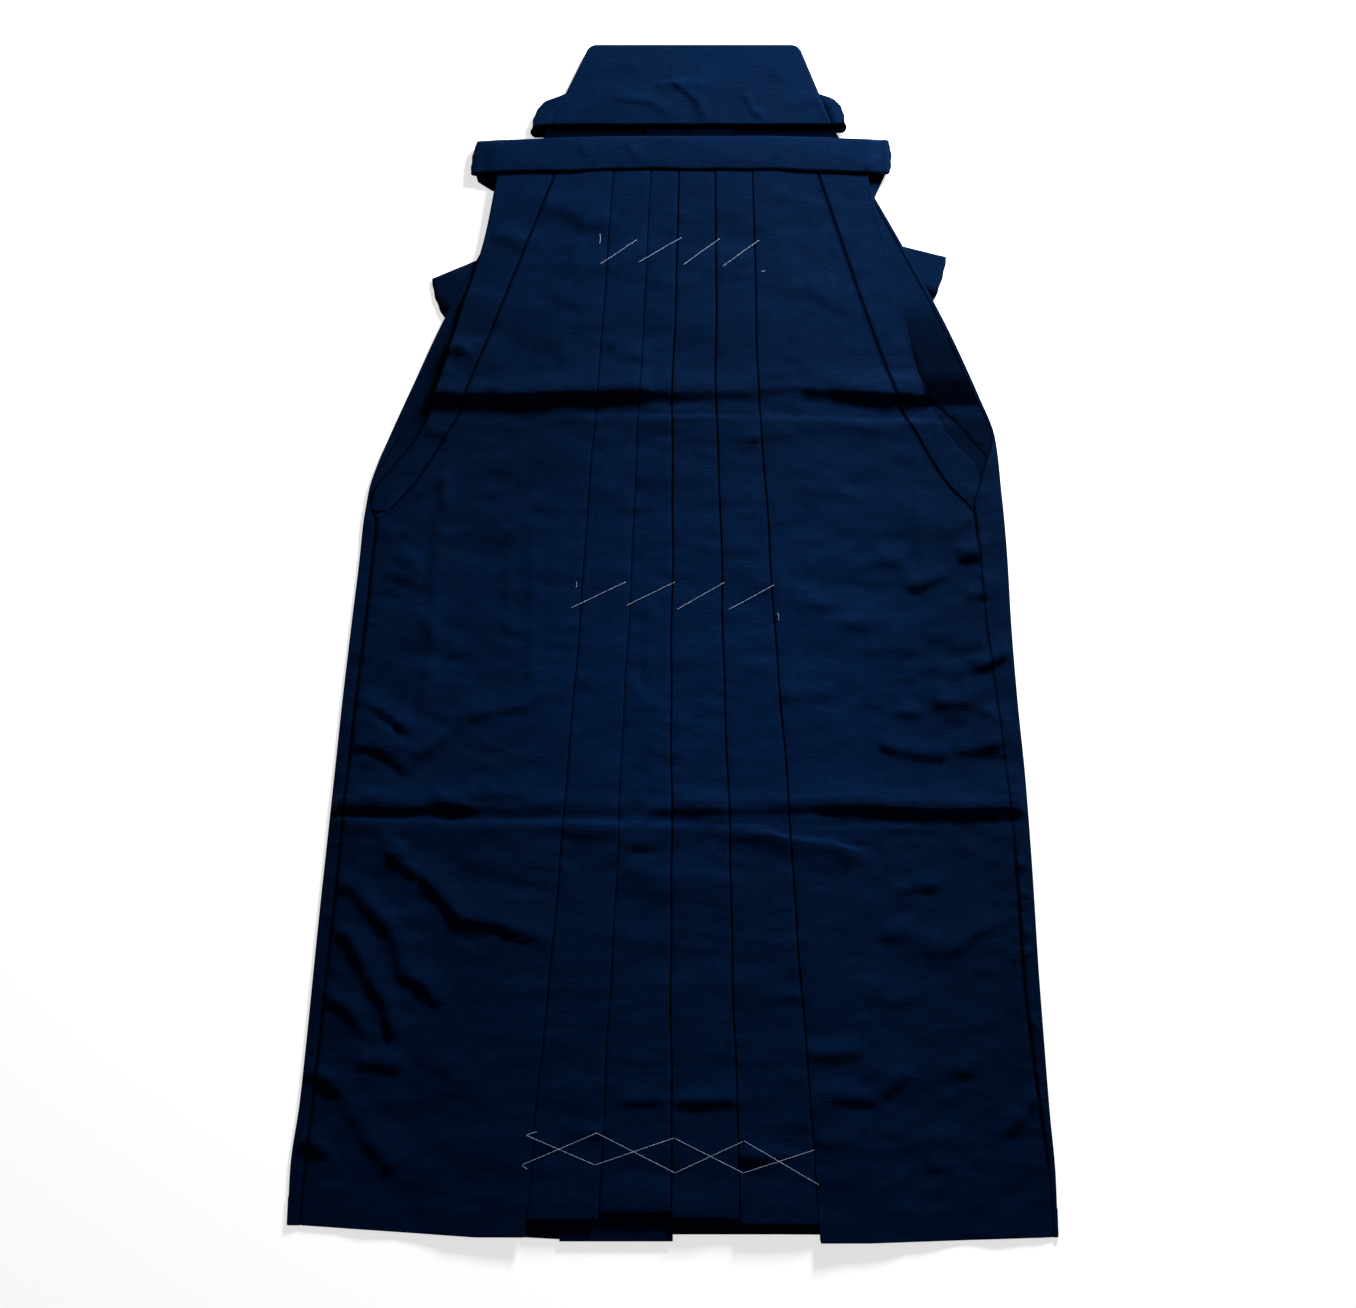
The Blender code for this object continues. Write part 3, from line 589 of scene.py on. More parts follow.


# The cloth's colour is paler round the knees and shins and darker at the thighs, sides, hips
# and hems: how much paler, at what x and down, and how far that reaches across and down.
toneSpots = {
    "knee": (1.0, 10.0, 470.0, 200.0, 150.0), "thigh": (-0.3, 0.0, 215.0, 260.0, 90.0),
    "rightSide": (-0.45, -200.0, 190.0, 100.0, 130.0), "leftSide": (-0.5, 250.0, 400.0, 55.0, 190.0),
    "hips": (-0.3, 70.0, 30.0, 110.0, 60.0), "shin": (0.35, 10.0, 780.0, 190.0, 120.0),
    "rightHem": (-0.4, -290.0, 650.0, 55.0, 180.0), "leftHem": (-0.35, 290.0, 740.0, 50.0, 120.0),
}


def toneSpotsAt(points):
    # exp(-a^2 - b^2), a and b the distances across and down from each middle over their reach
    x, down = points[:, 0] * 1000, garment["waistY"] - points[:, 1] * 1000
    total = 0.0
    for share, middleX, middleDown, across, along in toneSpots.values():
        total = total + share * np.exp(-((x - middleX) / across) ** 2 - ((down - middleDown) / along) ** 2)
    return total


def newObject(name, data):
    # an object of its own in the scene
    made = bpy.data.objects.new(name, data)
    bpy.context.scene.collection.objects.link(made)
    return made


def makePiece(name, parts, material, nodes):
    # parts are (points, faces, uv, rim flags, fold shade) put into one mesh
    points, uv, flags, fold = (np.concatenate([part[kind] for part in parts]) for kind in (0, 2, 3, 4))
    offsets = np.cumsum([0] + [len(part[0]) for part in parts[:-1]])
    faces = [[index + int(offset) for index in face]
             for part, offset in zip(parts, offsets) for face in part[1]]
    mesh = bpy.data.meshes.new(name)
    mesh.from_pydata(points.tolist(), [], faces)
    layer = mesh.uv_layers.new(name="cloth")
    corner = np.empty(len(mesh.loops), int)
    mesh.loops.foreach_get("vertex_index", corner)
    layer.data.foreach_set("uv", uv[corner].astype(np.float32).ravel())
    mesh.polygons.foreach_set("use_smooth", np.ones(len(mesh.polygons), bool))
    edges = np.empty(2 * len(mesh.edges), int)
    mesh.edges.foreach_get("vertices", edges)
    edges = edges.reshape(-1, 2)
    sharp = (flags[edges[:, 0]] > 0) & (flags[edges[:, 0]] == flags[edges[:, 1]])
    mark = mesh.attributes.new("sharp_edge", "BOOLEAN", "EDGE")
    mark.data.foreach_set("value", sharp)
    for key, values in (("fold", fold), ("toneSpot", toneSpotsAt(points))):
        attribute = mesh.attributes.new(key, "FLOAT", "POINT")
        attribute.data.foreach_set("value", values.astype(np.float32))
    mesh.update()
    mesh.validate()
    mesh.materials.append(material)
    piece = newObject(name, mesh)
    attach(piece, "root")
    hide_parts(*nodes)
    return piece


def surfaceArea(piece):
    # half the whole surface, in square metres
    areas = np.empty(len(piece.data.polygons))
    piece.data.polygons.foreach_get("area", areas)
    return areas.sum() / 2


def declareCloth(piece, width, length, area, held, restsOn):
    # prints a piece's measured area beside the area of its flat cut
    print(piece.name, "measured", round(surfaceArea(piece), 4), "flat", area,
          "ratio", round(surfaceArea(piece) / area, 3))


cloth = {
    # the dyed colours, each at its place on the ramp
    "colours": ((0.46, (0.0001, 0.0040, 0.0195)), (0.61, (0.0003, 0.0064, 0.0290)),
                (0.76, (0.0006, 0.0105, 0.0440))),
    "foldDark": 0.9,        # how much of the colour, sheen and shine the painted shade takes away at most
    "toneSpotGain": 0.52,       # and how much is gained in the paler patches and lost in the darker ones
    # uneven weft threads, coarse and fine, uneven warp and clouds: each noise's steps per metre
    # across and down the cloth, its detail, its roughness and its share
    "noises": (((75.0, 900.0, 1.0), 3.0, 0.55, 0.55), ((240.0, 1710.0, 1.0), 2.0, 0.5, 0.3),
               ((900.0, 26.0, 1.0), 2.0, 0.5, 0.15), ((14.0, 26.0, 1.0), 4.0, 0.6, 0.22)),
    "crumple": ((55.0, 120.0, 1.0), 3.0, 0.55),
    "threadPitch": 0.62,    # mm between two threads
    # how high the weave, the uneven threads and the crumple stand in the bump, and the bump
    "weaveHeight": 0.35, "threadHeight": 2.2, "crumpleHeight": 2.0, "bump": (0.6, 0.00025),
    "surface": {"Roughness": 0.8, "Sheen Roughness": 0.45, "Sheen Tint": (0.06, 0.33, 0.95, 1.0),
                "Specular Tint": (0.06, 0.33, 0.95, 1.0)},
    "sheen": 0.03,
    "shine": 0.1,
}


def newMaterial(name, inputs):
    # a material, its tree and its shader, with some of the shader's inputs set
    material = bpy.data.materials.new(name)
    material.use_nodes = True
    shader = material.node_tree.nodes["Principled BSDF"]
    for key, value in inputs.items():
        shader.inputs[key].default_value = value
    return material, material.node_tree, shader


def mathNode(tree, operation, first, second=None):
    # a sum of one or two values or sockets
    node = tree.nodes.new("ShaderNodeMath")
    node.operation = operation
    for socket, value in zip(node.inputs, (first, second)):
        if value is None:
            continue
        if isinstance(value, (int, float)):
            socket.default_value = value
        else:
            tree.links.new(value, socket)
    return node.outputs[0]


def times(tree, first, second):
    return mathNode(tree, "MULTIPLY", first, second)


def plus(tree, first, second):
    return mathNode(tree, "ADD", first, second)


def clothPlace(tree):
    # the cloth's own coordinates in metres, together and apart
    uvNode = tree.nodes.new("ShaderNodeUVMap")
    uvNode.uv_map = "cloth"
    split = tree.nodes.new("ShaderNodeSeparateXYZ")
    tree.links.new(uvNode.outputs[0], split.inputs[0])
    return uvNode.outputs[0], split.outputs["X"], split.outputs["Y"]


def attributeOn(tree, name):
    # a value stored at the mesh's points
    node = tree.nodes.new("ShaderNodeAttribute")
    node.attribute_name = name
    return node.outputs["Fac"]


def bumpOn(tree, shader, height, strength, distance):
    # a bump from a height, on the shader
    bump = tree.nodes.new("ShaderNodeBump")
    bump.inputs["Strength"].default_value = strength
    bump.inputs["Distance"].default_value = distance
    tree.links.new(height, bump.inputs["Height"])
    tree.links.new(bump.outputs[0], shader.inputs["Normal"])


def noiseOn(tree, coordinate, scale, detail, rough):
    # a noise whose steps differ along the cloth's width and its length
    spread = tree.nodes.new("ShaderNodeMapping")
    spread.inputs["Scale"].default_value = scale
    tree.links.new(coordinate, spread.inputs["Vector"])
    noise = tree.nodes.new("ShaderNodeTexNoise")
    noise.inputs["Scale"].default_value = 1.0
    noise.inputs["Detail"].default_value = detail
    noise.inputs["Roughness"].default_value = rough
    tree.links.new(spread.outputs[0], noise.inputs["Vector"])
    return noise.outputs["Fac"]


def rampOf(tree, value, stops):
    # a ramp with a colour at each place
    ramp = tree.nodes.new("ShaderNodeValToRGB")
    elements = ramp.color_ramp.elements
    while len(elements) < len(stops):
        elements.new(0.5)
    for element, (place, colour) in zip(elements, stops):
        element.position = place
        element.color = (*colour, 1.0)
    tree.links.new(value, ramp.inputs[0])
    return ramp.outputs[0]


def clothMaterial(name, tone=1.0):
    # navy plain weave: uneven weft threads give short dark and light streaks across the cloth
    material, tree, shader = newMaterial(name, cloth["surface"])
    place, across, along = clothPlace(tree)
    sums = []
    for scale, detail, rough, share in cloth["noises"]:
        part = times(tree, noiseOn(tree, place, scale, detail, rough), share)
        sums.append(plus(tree, sums[-1], part) if sums else part)
    threads, mottled = sums[-2:]
    colour = rampOf(tree, mottled, [(stop, [tone * part for part in dye]) for stop, dye in cloth["colours"]])
    # painted shade: the fold attribute darkens colour, sheen and shine in folds, grooves, seams, slits and
    # gaps
    shadeFactor = mathNode(tree, "SUBTRACT", 1.0, times(tree, attributeOn(tree, "fold"), cloth["foldDark"]))
    pale = plus(tree, 1.0, times(tree, attributeOn(tree, "toneSpot"), cloth["toneSpotGain"]))
    tree.links.new(times(tree, shadeFactor, cloth["sheen"]), shader.inputs["Sheen Weight"])
    tree.links.new(times(tree, shadeFactor, cloth["shine"]), shader.inputs["Specular IOR Level"])
    scaled = tree.nodes.new("ShaderNodeVectorMath")
    scaled.operation = "SCALE"
    tree.links.new(colour, scaled.inputs[0])
    tree.links.new(times(tree, shadeFactor, pale), scaled.inputs["Scale"])
    tree.links.new(scaled.outputs[0], shader.inputs["Base Color"])
    turns = 2000 * math.pi / cloth["threadPitch"]
    weave = times(tree, *(mathNode(tree, "SINE", times(tree, part, turns)) for part in (across, along)))
    height = plus(tree, times(tree, weave, cloth["weaveHeight"]), times(tree, threads, cloth["threadHeight"]))
    crumple = noiseOn(tree, place, *cloth["crumple"])
    height = plus(tree, height, times(tree, crumple, cloth["crumpleHeight"]))
    bumpOn(tree, shader, height, *cloth["bump"])
    return material


panelCloth = clothMaterial("panelCloth")
bandCloth = clothMaterial("bandCloth")
boardCloth = clothMaterial("boardCloth", 0.92)


def clothPiece(name, node, sheet, up, thick=garment["clothThick"], material=panelCloth):
    # one sheet of cloth with a thickness
    return makePiece(name, [wallMesh(*sheet, thick * 0.001, up)], material, [node])


rows = {
    "stretches": ((-14, 40, 4.2), (40, 164, 3.8), (164, 184, 2.2), (184, 230, 1.5), (230, 536, 3.1),
                  (536, 570, 1.9), (570, 598, 1.5), (598, 883, 3.2)),
    "hemRows": (883.0, 887.5, 892.0, 896.5, 900.5, 903.5, 905.0),
    "hemBacks": (1, 2, 3, 4, 5, 6),
}


def rowDowns(last):
    # heights of the rows, in stretches of even steps, as far as the last one
    pieces = []
    for start, end, step in rows["stretches"]:
        count = max(int(round((end - start) / step)), 1)
        pieces.append(np.linspace(start, end, count, endpoint=False))
    downs = np.concatenate(pieces + [np.array(rows["hemRows"])])
    return downs[downs <= last]


def hemShift(down, hem):
    # rows close to the hem move so that the last one lies at the hem
    return down + (hem - garment["hemLine"]) * smooth(garment["hemBlend"], garment["hemLine"], down)


def sewnBelow(down):
    # how firmly the side seam holds the edges together, from just above the foot of the slit
    return smooth(garment["slitDown"] - 6, garment["slitDown"] + 8, down)


frontPanel = {
    "outerColumns": 44, "stripColumns": 12, "turnBacks": (1, 2, 3), "seamIn": 0.35,
    "corner": (0.9, 850, 880),      # how far the outer columns close up, from and to a height
    # at distances in from the outer edge: how far the seam draws the cloth down, and its painted shade
    "edge": ((0.0, 0.8, 1.0), (0.8, 0.62, 0.85), (1.6, 0.25, 0.3), (2.8, 0.0, 0.0), (5.5, 0.0, 0.0),
             (9.0, 0.0, 0.0)),
    # the hem stands up a little between the legs: how far, from and to a height, within x
    "hemRise": (1.6, 868, 905, 95, 135),
    "around": ((-6, 0), (6, 0), (-3, -3), (3, 3), (0, -5), (0, 5)),
}


def frontGrid(side):
    # across at each height: an outer strip, then for each pleat a level shelf, half a circle
    # down, the hidden layer back, half a circle down again, and the next strip out
    leg = legs[side]
    inward = leg["inward"]
    down = rowDowns(garment["hemLine"])[:, None]
    depth = pleatDepth(down)
    bend = pleats["bend"]
    folds = pleats[side]
    seam = sideLine(side + "Flap", down) + inward * frontPanel["seamIn"]
    outer = np.where(down <= garment["slitDown"], openingLine(side + "Pleat", down), seam)
    low = edgeLevel(down)
    firstShelf = foldLine(folds[0], down) - inward * (depth + pleats["shelf"])
    # each column's x, level, hem, painted shade and how far it is drawn down
    add, joined = columnLists(down, 5)
    # the outer strip, whose first columns close up at the hem's corner
    most, start, end = frontPanel["corner"]
    close = 1 - most * smooth(start, end, down)
    sewn = sewnBelow(down)
    shadeFactor = seamShade(side, down)
    for inset, sunk, dark in frontPanel["edge"][:-1]:
        add(outer + inward * inset * close, low, leg["seamHem"], shadeFactor * dark * mix(0.5, 1.0, sewn),
            sunk * sewn * shadeFactor)
    startX = outer + inward * frontPanel["edge"][-1][0] * close
    for share in np.linspace(0, 1, frontPanel["outerColumns"], endpoint=False):
        here = mix(startX, firstShelf, share)
        whole = (here - outer) / (firstShelf - outer)
        add(here, mix(low, 2.0, smooth(heights["ramp"], 1.0, whole)), mix(leg["seamHem"], folds[0][4], whole))
    for number, fold in enumerate(folds):
        edge = foldLine(fold, down)
        outHem, inHem = fold[4], fold[5]
        for share in (0.0, 0.45, 0.8):
            add(edge - inward * mix(depth + pleats["shelf"], pleats["shelfEnd"], share), 2.0, outHem)
        for angle in np.radians([0, 30, 60, 90, 120, 150, 180]):
            add(edge - inward * bend * (1 - math.sin(angle)), 1.5 + 0.5 * math.cos(angle),
                mix(outHem, inHem, angle / math.pi / 2), smooth(1.3, 2.2, angle))
        for share in (0.35, 0.7):
            add(edge - inward * mix(bend, depth - bend, share), 1.0, mix(outHem, inHem, 0.5), 1.0)
        if side == "left" and number == len(folds) - 1:
            add(edge - inward * (depth - bend), 1.0, mix(outHem, inHem, 0.5), 1.0)
            break
        for angle in np.radians([0, 45, 90, 135, 180]):
            add(edge - inward * (depth - bend + bend * math.sin(angle)), 0.5 + 0.5 * math.cos(angle),
                mix(outHem, inHem, 0.5 + angle / math.pi / 2), 1.0)
        for share in (0.4, 0.8):
            add(edge - inward * mix(depth - bend, bend, share), 0.0, inHem, 1.0)
        # from under the fold the next strip climbs out of a narrow groove to its own level
        grooveShade = np.interp(down, pleats["foldDowns"], pleats["shadeFactor"][side][number])
        for past, climb, dark in pleats["groove"]:
            # a groove with less painted shade is shallower too, away from the fold's own cloth
            shallow = smooth(0.1, 0.7, past) * (1 - grooveShade) * (pleats["groove"][-1][1] - climb)
            add(edge + inward * past, climb + 0.8 * shallow, inHem, dark * grooveShade)
        if number + 1 < len(folds):
            after = foldLine(folds[number + 1], down) - inward * (depth + pleats["shelf"])
            nextHem = folds[number + 1][4]
            start = edge + inward * pleats["groove"][-1][0]
            for share in np.linspace(0, 1, frontPanel["stripColumns"], endpoint=False)[1:]:
                add(mix(start, after, share), mix(pleats["groove"][-1][1], 2.0, smooth(0.0, 1.0, share)),
                    mix(inHem, nextHem, share))
    if side == "right":
        # the middle strip goes down again before it passes under the other leg's last pleat
        cover = foldLine(pleats["left"][-1], down)
        seamX = cover + depth - bend
        start = foldLine(folds[-1], down) + inward * pleats["groove"][-1][0]
        for share in np.linspace(0, 1, frontPanel["stripColumns"] + 2)[1:]:
            add(mix(start, cover - pleats["groove"][4][0], share),
                pleats["groove"][-1][1] + 0.1 * math.sin(math.pi * share),
                mix(folds[-1][5], pleats["centreHem"], share))
        for past, climb, dark in pleats["groove"][3:0:-1]:
            add(cover - past, climb, pleats["centreHem"], dark)
        for share in (0.3, 0.6, 1.0):
            add(mix(cover, seamX, share), 0.0, pleats["centreHem"], 1.0)
    x, level, hem, shade, dip = joined()
    rise, start, end, near, far = frontPanel["hemRise"]
    rise = rise * smooth(start, end, down) * (1 - smooth(near, far, np.abs(x)))
    # the hidden layers are coarser and keep under the lowest of the relief round them
    hidden = (shade > 0.99) & (level <= 1.0)
    under = hidden.any(axis=0)
    soft = reliefAt(x, down)
    around = [soft[:, under]]
    around += [reliefAt(x[:, under] + stepX, down + stepDown) for stepX, stepDown in frontPanel["around"]]
    soft[:, under] = np.where(hidden[:, under], np.min(around, axis=0), soft[:, under])
    return sheetOf(x, hemShift(down, hem), layerHeight(x, down, level) + soft - dip + rise, shade)


def frontPiece(side):
    # the front of one leg, turned under at its outer edge and its hem
    sheet = frontGrid(side)
    up = legs[side]["inward"]
    sheet = turnColumns(*sheet, up, frontPanel["turnBacks"], True)
    sheet = turnUnder(*sheet, up, rows["hemBacks"])
    return clothPiece("frontPanel" + side.capitalize(), "front_" + side + "_panel", sheet, up), sheet[0]


backPanel = {
    "flapColumns": 6, "underColumns": 34, "pleatColumns": 7, "hemShort": 1.0,
    "fullWidth": 6.0,       # where the turned edge is narrower its columns draw together
    "hemLevel": 0.8,        # the share of the way to the middle where the hem has come level
    "topSink": 0.5,         # between the board and the band it lies lower and is pressed flatter
    "pressed": 0.55,        # its turned edge lies this share of a layer above the rest
    # painted shade on its wrong side: the board's shadow above the band, and shade in the slit at heights
    "topDark": 0.97,
    "slit": {"right": ((-14, 0.2), (0, 0.2), (60, 0.25), (180, 0.35), (244, 0.3), (256, 0.0)),
             "left": ((-14, 0.1), (60, 0.05), (112, 0.1), (134, 0.55), (178, 0.6), (187, 0.97), (206, 0.97),
                      (211, 0.2), (215, 0.2), (222, 0.55), (244, 0.5), (256, 0.0))},
    "slitTurned": {"right": 0.8, "left": 0.3},      # the share of it on the turned side
    # painted shadow close to the strip, from and to a height, within a distance, and how much
    "beside": {"right": (108, 134, 4, 0.97), "left": (140, 246, 2.5, 0.9)},
}


def backGrid(side):
    # across at each height: the turned edge, half a circle round the side, the underside, and
    # a double fold of the centre pleat
    leg = legs[side]
    inward = leg["inward"]
    down = np.concatenate([[garment["backTop"], -38.0, -30.0, -22.0], rowDowns(garment["hemLine"])])[:, None]
    fold = sideLine(side + "Fold", down)
    flap = sideLine(side + "Flap", down)
    top = 1 - smooth(-30, 10, down)
    low = liftAt(down) + garment["wall"] / 2 - backPanel["topSink"] * top
    pitch = garment["pitch"] * mix(1.0, 0.5, top)
    atSeam = layerHeight(flap, down, edgeLevel(down))
    # the turned edge is pressed flat down to where it meets the strip
    flapZ = mix(low + backPanel["pressed"] * pitch, atSeam, smooth(*heights["flapRise"], down))
    bend = (flapZ - low) / 2
    seamHem = leg["seamHem"]
    sideHem = seamHem - backPanel["hemShort"]
    # each column's x, height, hem, how much of the relief it takes, and painted shade
    add, joined = columnLists(down, 5)
    # the seam draws this edge down too
    sewn = sewnBelow(down) * seamShade(side, down)
    wide = np.abs(flap - fold) - bend
    narrow = np.clip(wide / backPanel["fullWidth"], 0.1, 1.0)
    rise = heights["flapRise"][0]
    shown = np.maximum(sewn, smooth(rise - 8, rise, down))
    # painted seam shade along the turned edge
    for inset, sunk, dark in frontPanel["edge"][:3]:
        add(flap - inward * inset * narrow, flapZ - sunk * sewn, seamHem, 1.0, dark * shown)
    start = flap - inward * frontPanel["edge"][3][0] * narrow
    for share in np.linspace(0, 1, backPanel["flapColumns"], endpoint=False):
        add(mix(start, fold + inward * bend, share), flapZ, seamHem, 1.0)
    for angle in np.radians([0, 22, 45, 67, 90, 113, 135, 158, 180]):
        add(fold + inward * bend * (1 - math.sin(angle)), low + bend * (1 + math.cos(angle)),
            mix(seamHem, sideHem, angle / math.pi), (1 + math.cos(angle)) / 2)
    centre = backCentre(down) - inward * backPleat["slack"]
    depth = backPleatDepth(down)
    half = pleats["bend"]
    start = fold + inward * bend
    for share in np.linspace(0, 1, backPanel["underColumns"] + 1)[1:-1]:
        add(mix(start, centre - inward * half, share), low,
            mix(sideHem, leg["centreHem"], min(share / backPanel["hemLevel"], 1.0)))
    for inset, level, turn in ((half, 0.0, 1), (depth - half, 1.0, -1)):
        for angle in np.radians([0, 30, 60, 90, 120, 150, 180]):
            bulge = -turn * half * math.sin(angle)
            add(centre - inward * (inset + bulge), low + pitch * (level + 0.5 * (1 - math.cos(angle))),
                leg["centreHem"])
        for share in np.linspace(0, 1, backPanel["pleatColumns"] + 2)[1:-1]:
            target = depth - half if turn > 0 else 0.0
            add(centre - inward * mix(inset, target, share), low + pitch * (level + 1.0),
                leg["centreHem"])
    add(centre, low + pitch * 2, leg["centreHem"])
    x, z, hem, lifted, shade = joined()
    # the relief reaches the turned edge only where that lies beside the front
    z = z + reliefAt(x, down) * lifted * smooth(rise, heights["flapRise"][1] + 10, down)
    # painted shade in the slit, and painted shadow beside the strip and below the board
    inSlit = at(backPanel["slit"][side], down)
    start, end, reach, most = backPanel["beside"][side]
    past = np.abs(x - openingLine(side + "Edge", np.minimum(down, garment["slitDown"])))
    nearStrip = most * smooth(start, start + 15, down) * (1 - smooth(end, end + 15, down))
    inSlit = np.maximum(inSlit, nearStrip * (1 - smooth(reach, reach + 3, past)))
    beside = 1 - smooth(60, 90, np.abs(x - sideLine(side + "Fold", down)))
    atTop = backPanel["topDark"] * (1 - smooth(-33, -25, down))
    wrongSide = np.maximum(inSlit * beside, atTop)
    turned = np.maximum(atTop, backPanel["slitTurned"][side] * inSlit * lifted)
    turned = np.where(z > low + 0.01, turned, 0.0)
    rightSide = np.maximum(shade, turned)
    return sheetOf(x, hemShift(down, hem), z, np.maximum(rightSide, wrongSide), rightSide)


def backPiece(side):
    # the back of one leg, turned under at its hem
    up = legs[side]["inward"]
    sheet = turnUnder(*backGrid(side), up, rows["hemBacks"])
    return clothPiece("backPanel" + side.capitalize(), "back_" + side + "_panel", sheet, up)


sideStrip = {
    # how far it goes on under the pleat, at heights
    "hidden": ((-14, 12.0), (200, 24.0), (303, 3.0)), "columns": 14, "turnBacks": (1, 2, 3),
    "fullWidth": 14.0,      # where it is narrower its edges draw together
    "full": 0.95, "under": -0.15,   # its levels where it shows and under the pleat
    "stepHalf": 0.7, "grooveFrom": 3.9,
    # at distances out from the pleat, the groove's level and its painted shade
    "groove": ((2.9, 0.75, 0.1), (2.0, 0.2, 0.75), (1.1, -0.15, 1.0), (0.0, -0.15, 1.0)),
    "lowFrom": (188, 200),  # the outer edge's painted shadow takes over between these heights
    # a soft step along it, as shares of its width at heights, and how much lower it is outside
    "step": {"right": ((-14, 0.02), (222, 0.03), (249, 0.25), (272, 0.42), (303, 0.7)),
             "left": ((-14, 0.02), (196, 0.03), (212, 0.24), (231, 0.39), (250, 0.36), (261, 0.25),
                      (303, 0.06))},
    # stepDark is the painted shade outside the step
    "stepDrop": {"right": 0.22, "left": 0.1}, "stepDark": {"right": 0.12, "left": 0.5},
    # painted shadow along its outer edge low down, and over how many millimetres that fades
    "shadow": {"right": (1.0, 3.0), "left": (1.6, 4.2)},
    # at distances in from its outer edge: how far it is sunk, in levels, and its painted shade
    "edge": {"right": ((0.0, 0.0, 0.9), (0.8, 0.0, 0.35), (1.6, 0.0, 0.0), (2.8, 0.0, 0.0)),
             "left": ((0.0, -0.05, 0.0), (1.2, 0.1, 0.15), (2.6, 0.1, 0.1), (4.0, 0.0, 0.0))},
}


def stripPiece(side):
    # the strip that shows beside the leaf pleat, from under it out to its own turned edge
    inward = legs[side]["inward"]
    down = rowDowns(garment["slitDown"])[:, None]
    pleat = openingLine(side + "Pleat", down)
    edge = openingLine(side + "Edge", down)
    hidden = pleat + inward * at(sideStrip["hidden"], down)
    width = np.abs(pleat - edge)
    narrow = np.clip(width / sideStrip["fullWidth"], 0.08, 1.0)
    opened = np.clip(width / sideStrip["fullWidth"], 0.0, 1.0)
    stepShare = at(sideStrip["step"][side], down)
    drop = sideStrip["stepDrop"][side] * smooth(0.03, 0.1, stepShare)
    # each column's x, level and painted shade
    add, joined = columnLists(down, 3)
    full = sideStrip["full"] * opened
    # up from the outer edge over the step, level, and down into the groove beside the pleat
    outside = sideStrip["stepDark"][side] * smooth(0.03, 0.2, stepShare)
    lowPart = smooth(*sideStrip["lowFrom"], down)
    most, fade = sideStrip["shadow"][side]
    for inset, sunk, dark in sideStrip["edge"][side]:
        shadow = min(max(most * (1 - inset / fade), 0.0), 1.0) * lowPart
        add(edge + inward * inset * narrow, full - drop - sunk * opened,
            np.maximum(dark * (1 - lowPart), np.maximum(shadow, outside)))
    last = sideStrip["edge"][side][-1][0] * narrow
    stepAt = np.clip(stepShare * width, last + 1.2 * narrow, width - 5.0 * narrow)
    stepEnd = edge + inward * (stepAt + sideStrip["stepHalf"] * narrow)
    add(edge + inward * (stepAt - sideStrip["stepHalf"] * narrow), full - drop, outside)
    add(edge + inward * stepAt, full - 0.7 * drop, 0.6 * outside)
    add(stepEnd, full)
    for share in np.linspace(0, 1, sideStrip["columns"])[1:]:
        add(mix(stepEnd, pleat - inward * sideStrip["grooveFrom"] * narrow, share), full)
    for past, layer, dark in sideStrip["groove"]:
        add(pleat - inward * past * narrow, layer * opened, dark)
    for share in (0.3, 0.7, 1.0):
        add(mix(pleat, hidden, share), sideStrip["under"] * opened, 1.0)
    x, level, shade = joined()
    z = layerHeight(x, down, level) + reliefAt(x, down)
    sheet = sheetOf(x, down * np.ones_like(x), z, shade)
    sheet = turnColumns(*sheet, inward, sideStrip["turnBacks"], True)
    return clothPiece("sideStrip" + side.capitalize(), "side_" + side + "_strip", sheet, inward)


print("panels")
frontRight, rightPoints = frontPiece("right")
frontLeft, leftPoints = frontPiece("left")
backRight = backPiece("right")
backLeft = backPiece("left")
stripRight = stripPiece("right")
stripLeft = stripPiece("left")


band = {
    "left": -171.8, "right": 189.3, "height": 29.5, "arch": 3.0,
    "over": 2.95, "endOver": 0.58, "overWidth": 14.0, "under": 1.55,
    "rows": 150, "thick": 0.5, "flare": (3.2, 24.0), "turnBacks": (1, 2, 3), "turnDrop": 0.6,
    # both ends bend down round the ties' folds: where that starts and its radius
    "leftBend": (-169.0, 4.4), "rightBend": (187.0, 3.4), "innerShort": 1.4,
    # how the seam and the top edge waver: height, length and phase of each wave
    "seamWaves": ((0.35, 19.0, 0.0), (0.25, 8.3, 0.0)), "topWaves": ((0.3, 27.0, 1.0),),
    "roundest": 1.6,        # the top's bend is at most this wide in height
    # the outer layer puffs by a power of a half sine and ripples along and up and down
    "puff": (0.7, 0.6), "puffRipples": ((0.22, 7.1, 2), (0.25, 15.0, -3)),
    # soft wrinkles, like those of the panels
    "wrinkles": {
        "middle": (
            ((-82.3, -27, -73.6, -11.7), 0.8, 2.5, 7),
            ((-41.3, -25.5, -27.6, -9.9), 0.8, 2.5, 8),
            ((20, -30, 32, -6), 0.35, 5, 7),
            ((96, -28, 92, -8), 0.4, 3, 8)),
        "ends": (
            ((168, 0, 174, -6.5, 184, -13.8), 1.3, 2.2, 5.5),
            ((172, -26, 183, -24), 0.35, 4, 4),
            ((-166, -24, -140, -22), 0.3, 5, 6)),
    },
}


def bandHeights(x, down):
    # heights of the inner and the outer layer
    past = np.maximum(np.maximum(openingLine("rightEdge", 0.0) - x, x - openingLine("leftEdge", 0.0)), 0.0)
    over = mix(band["over"], band["endOver"], smooth(0.0, band["overWidth"], past))
    base = frontBase(x, down) + garment["wall"] / 2
    for (start, radius), away in ((band["leftBend"], -1), (band["rightBend"], 1)):
        beyond = np.clip((x - start) * away, 0.0, 0.95 * radius)
        base = base - radius + np.sqrt(radius ** 2 - beyond ** 2)
    return base - band["under"], base + over


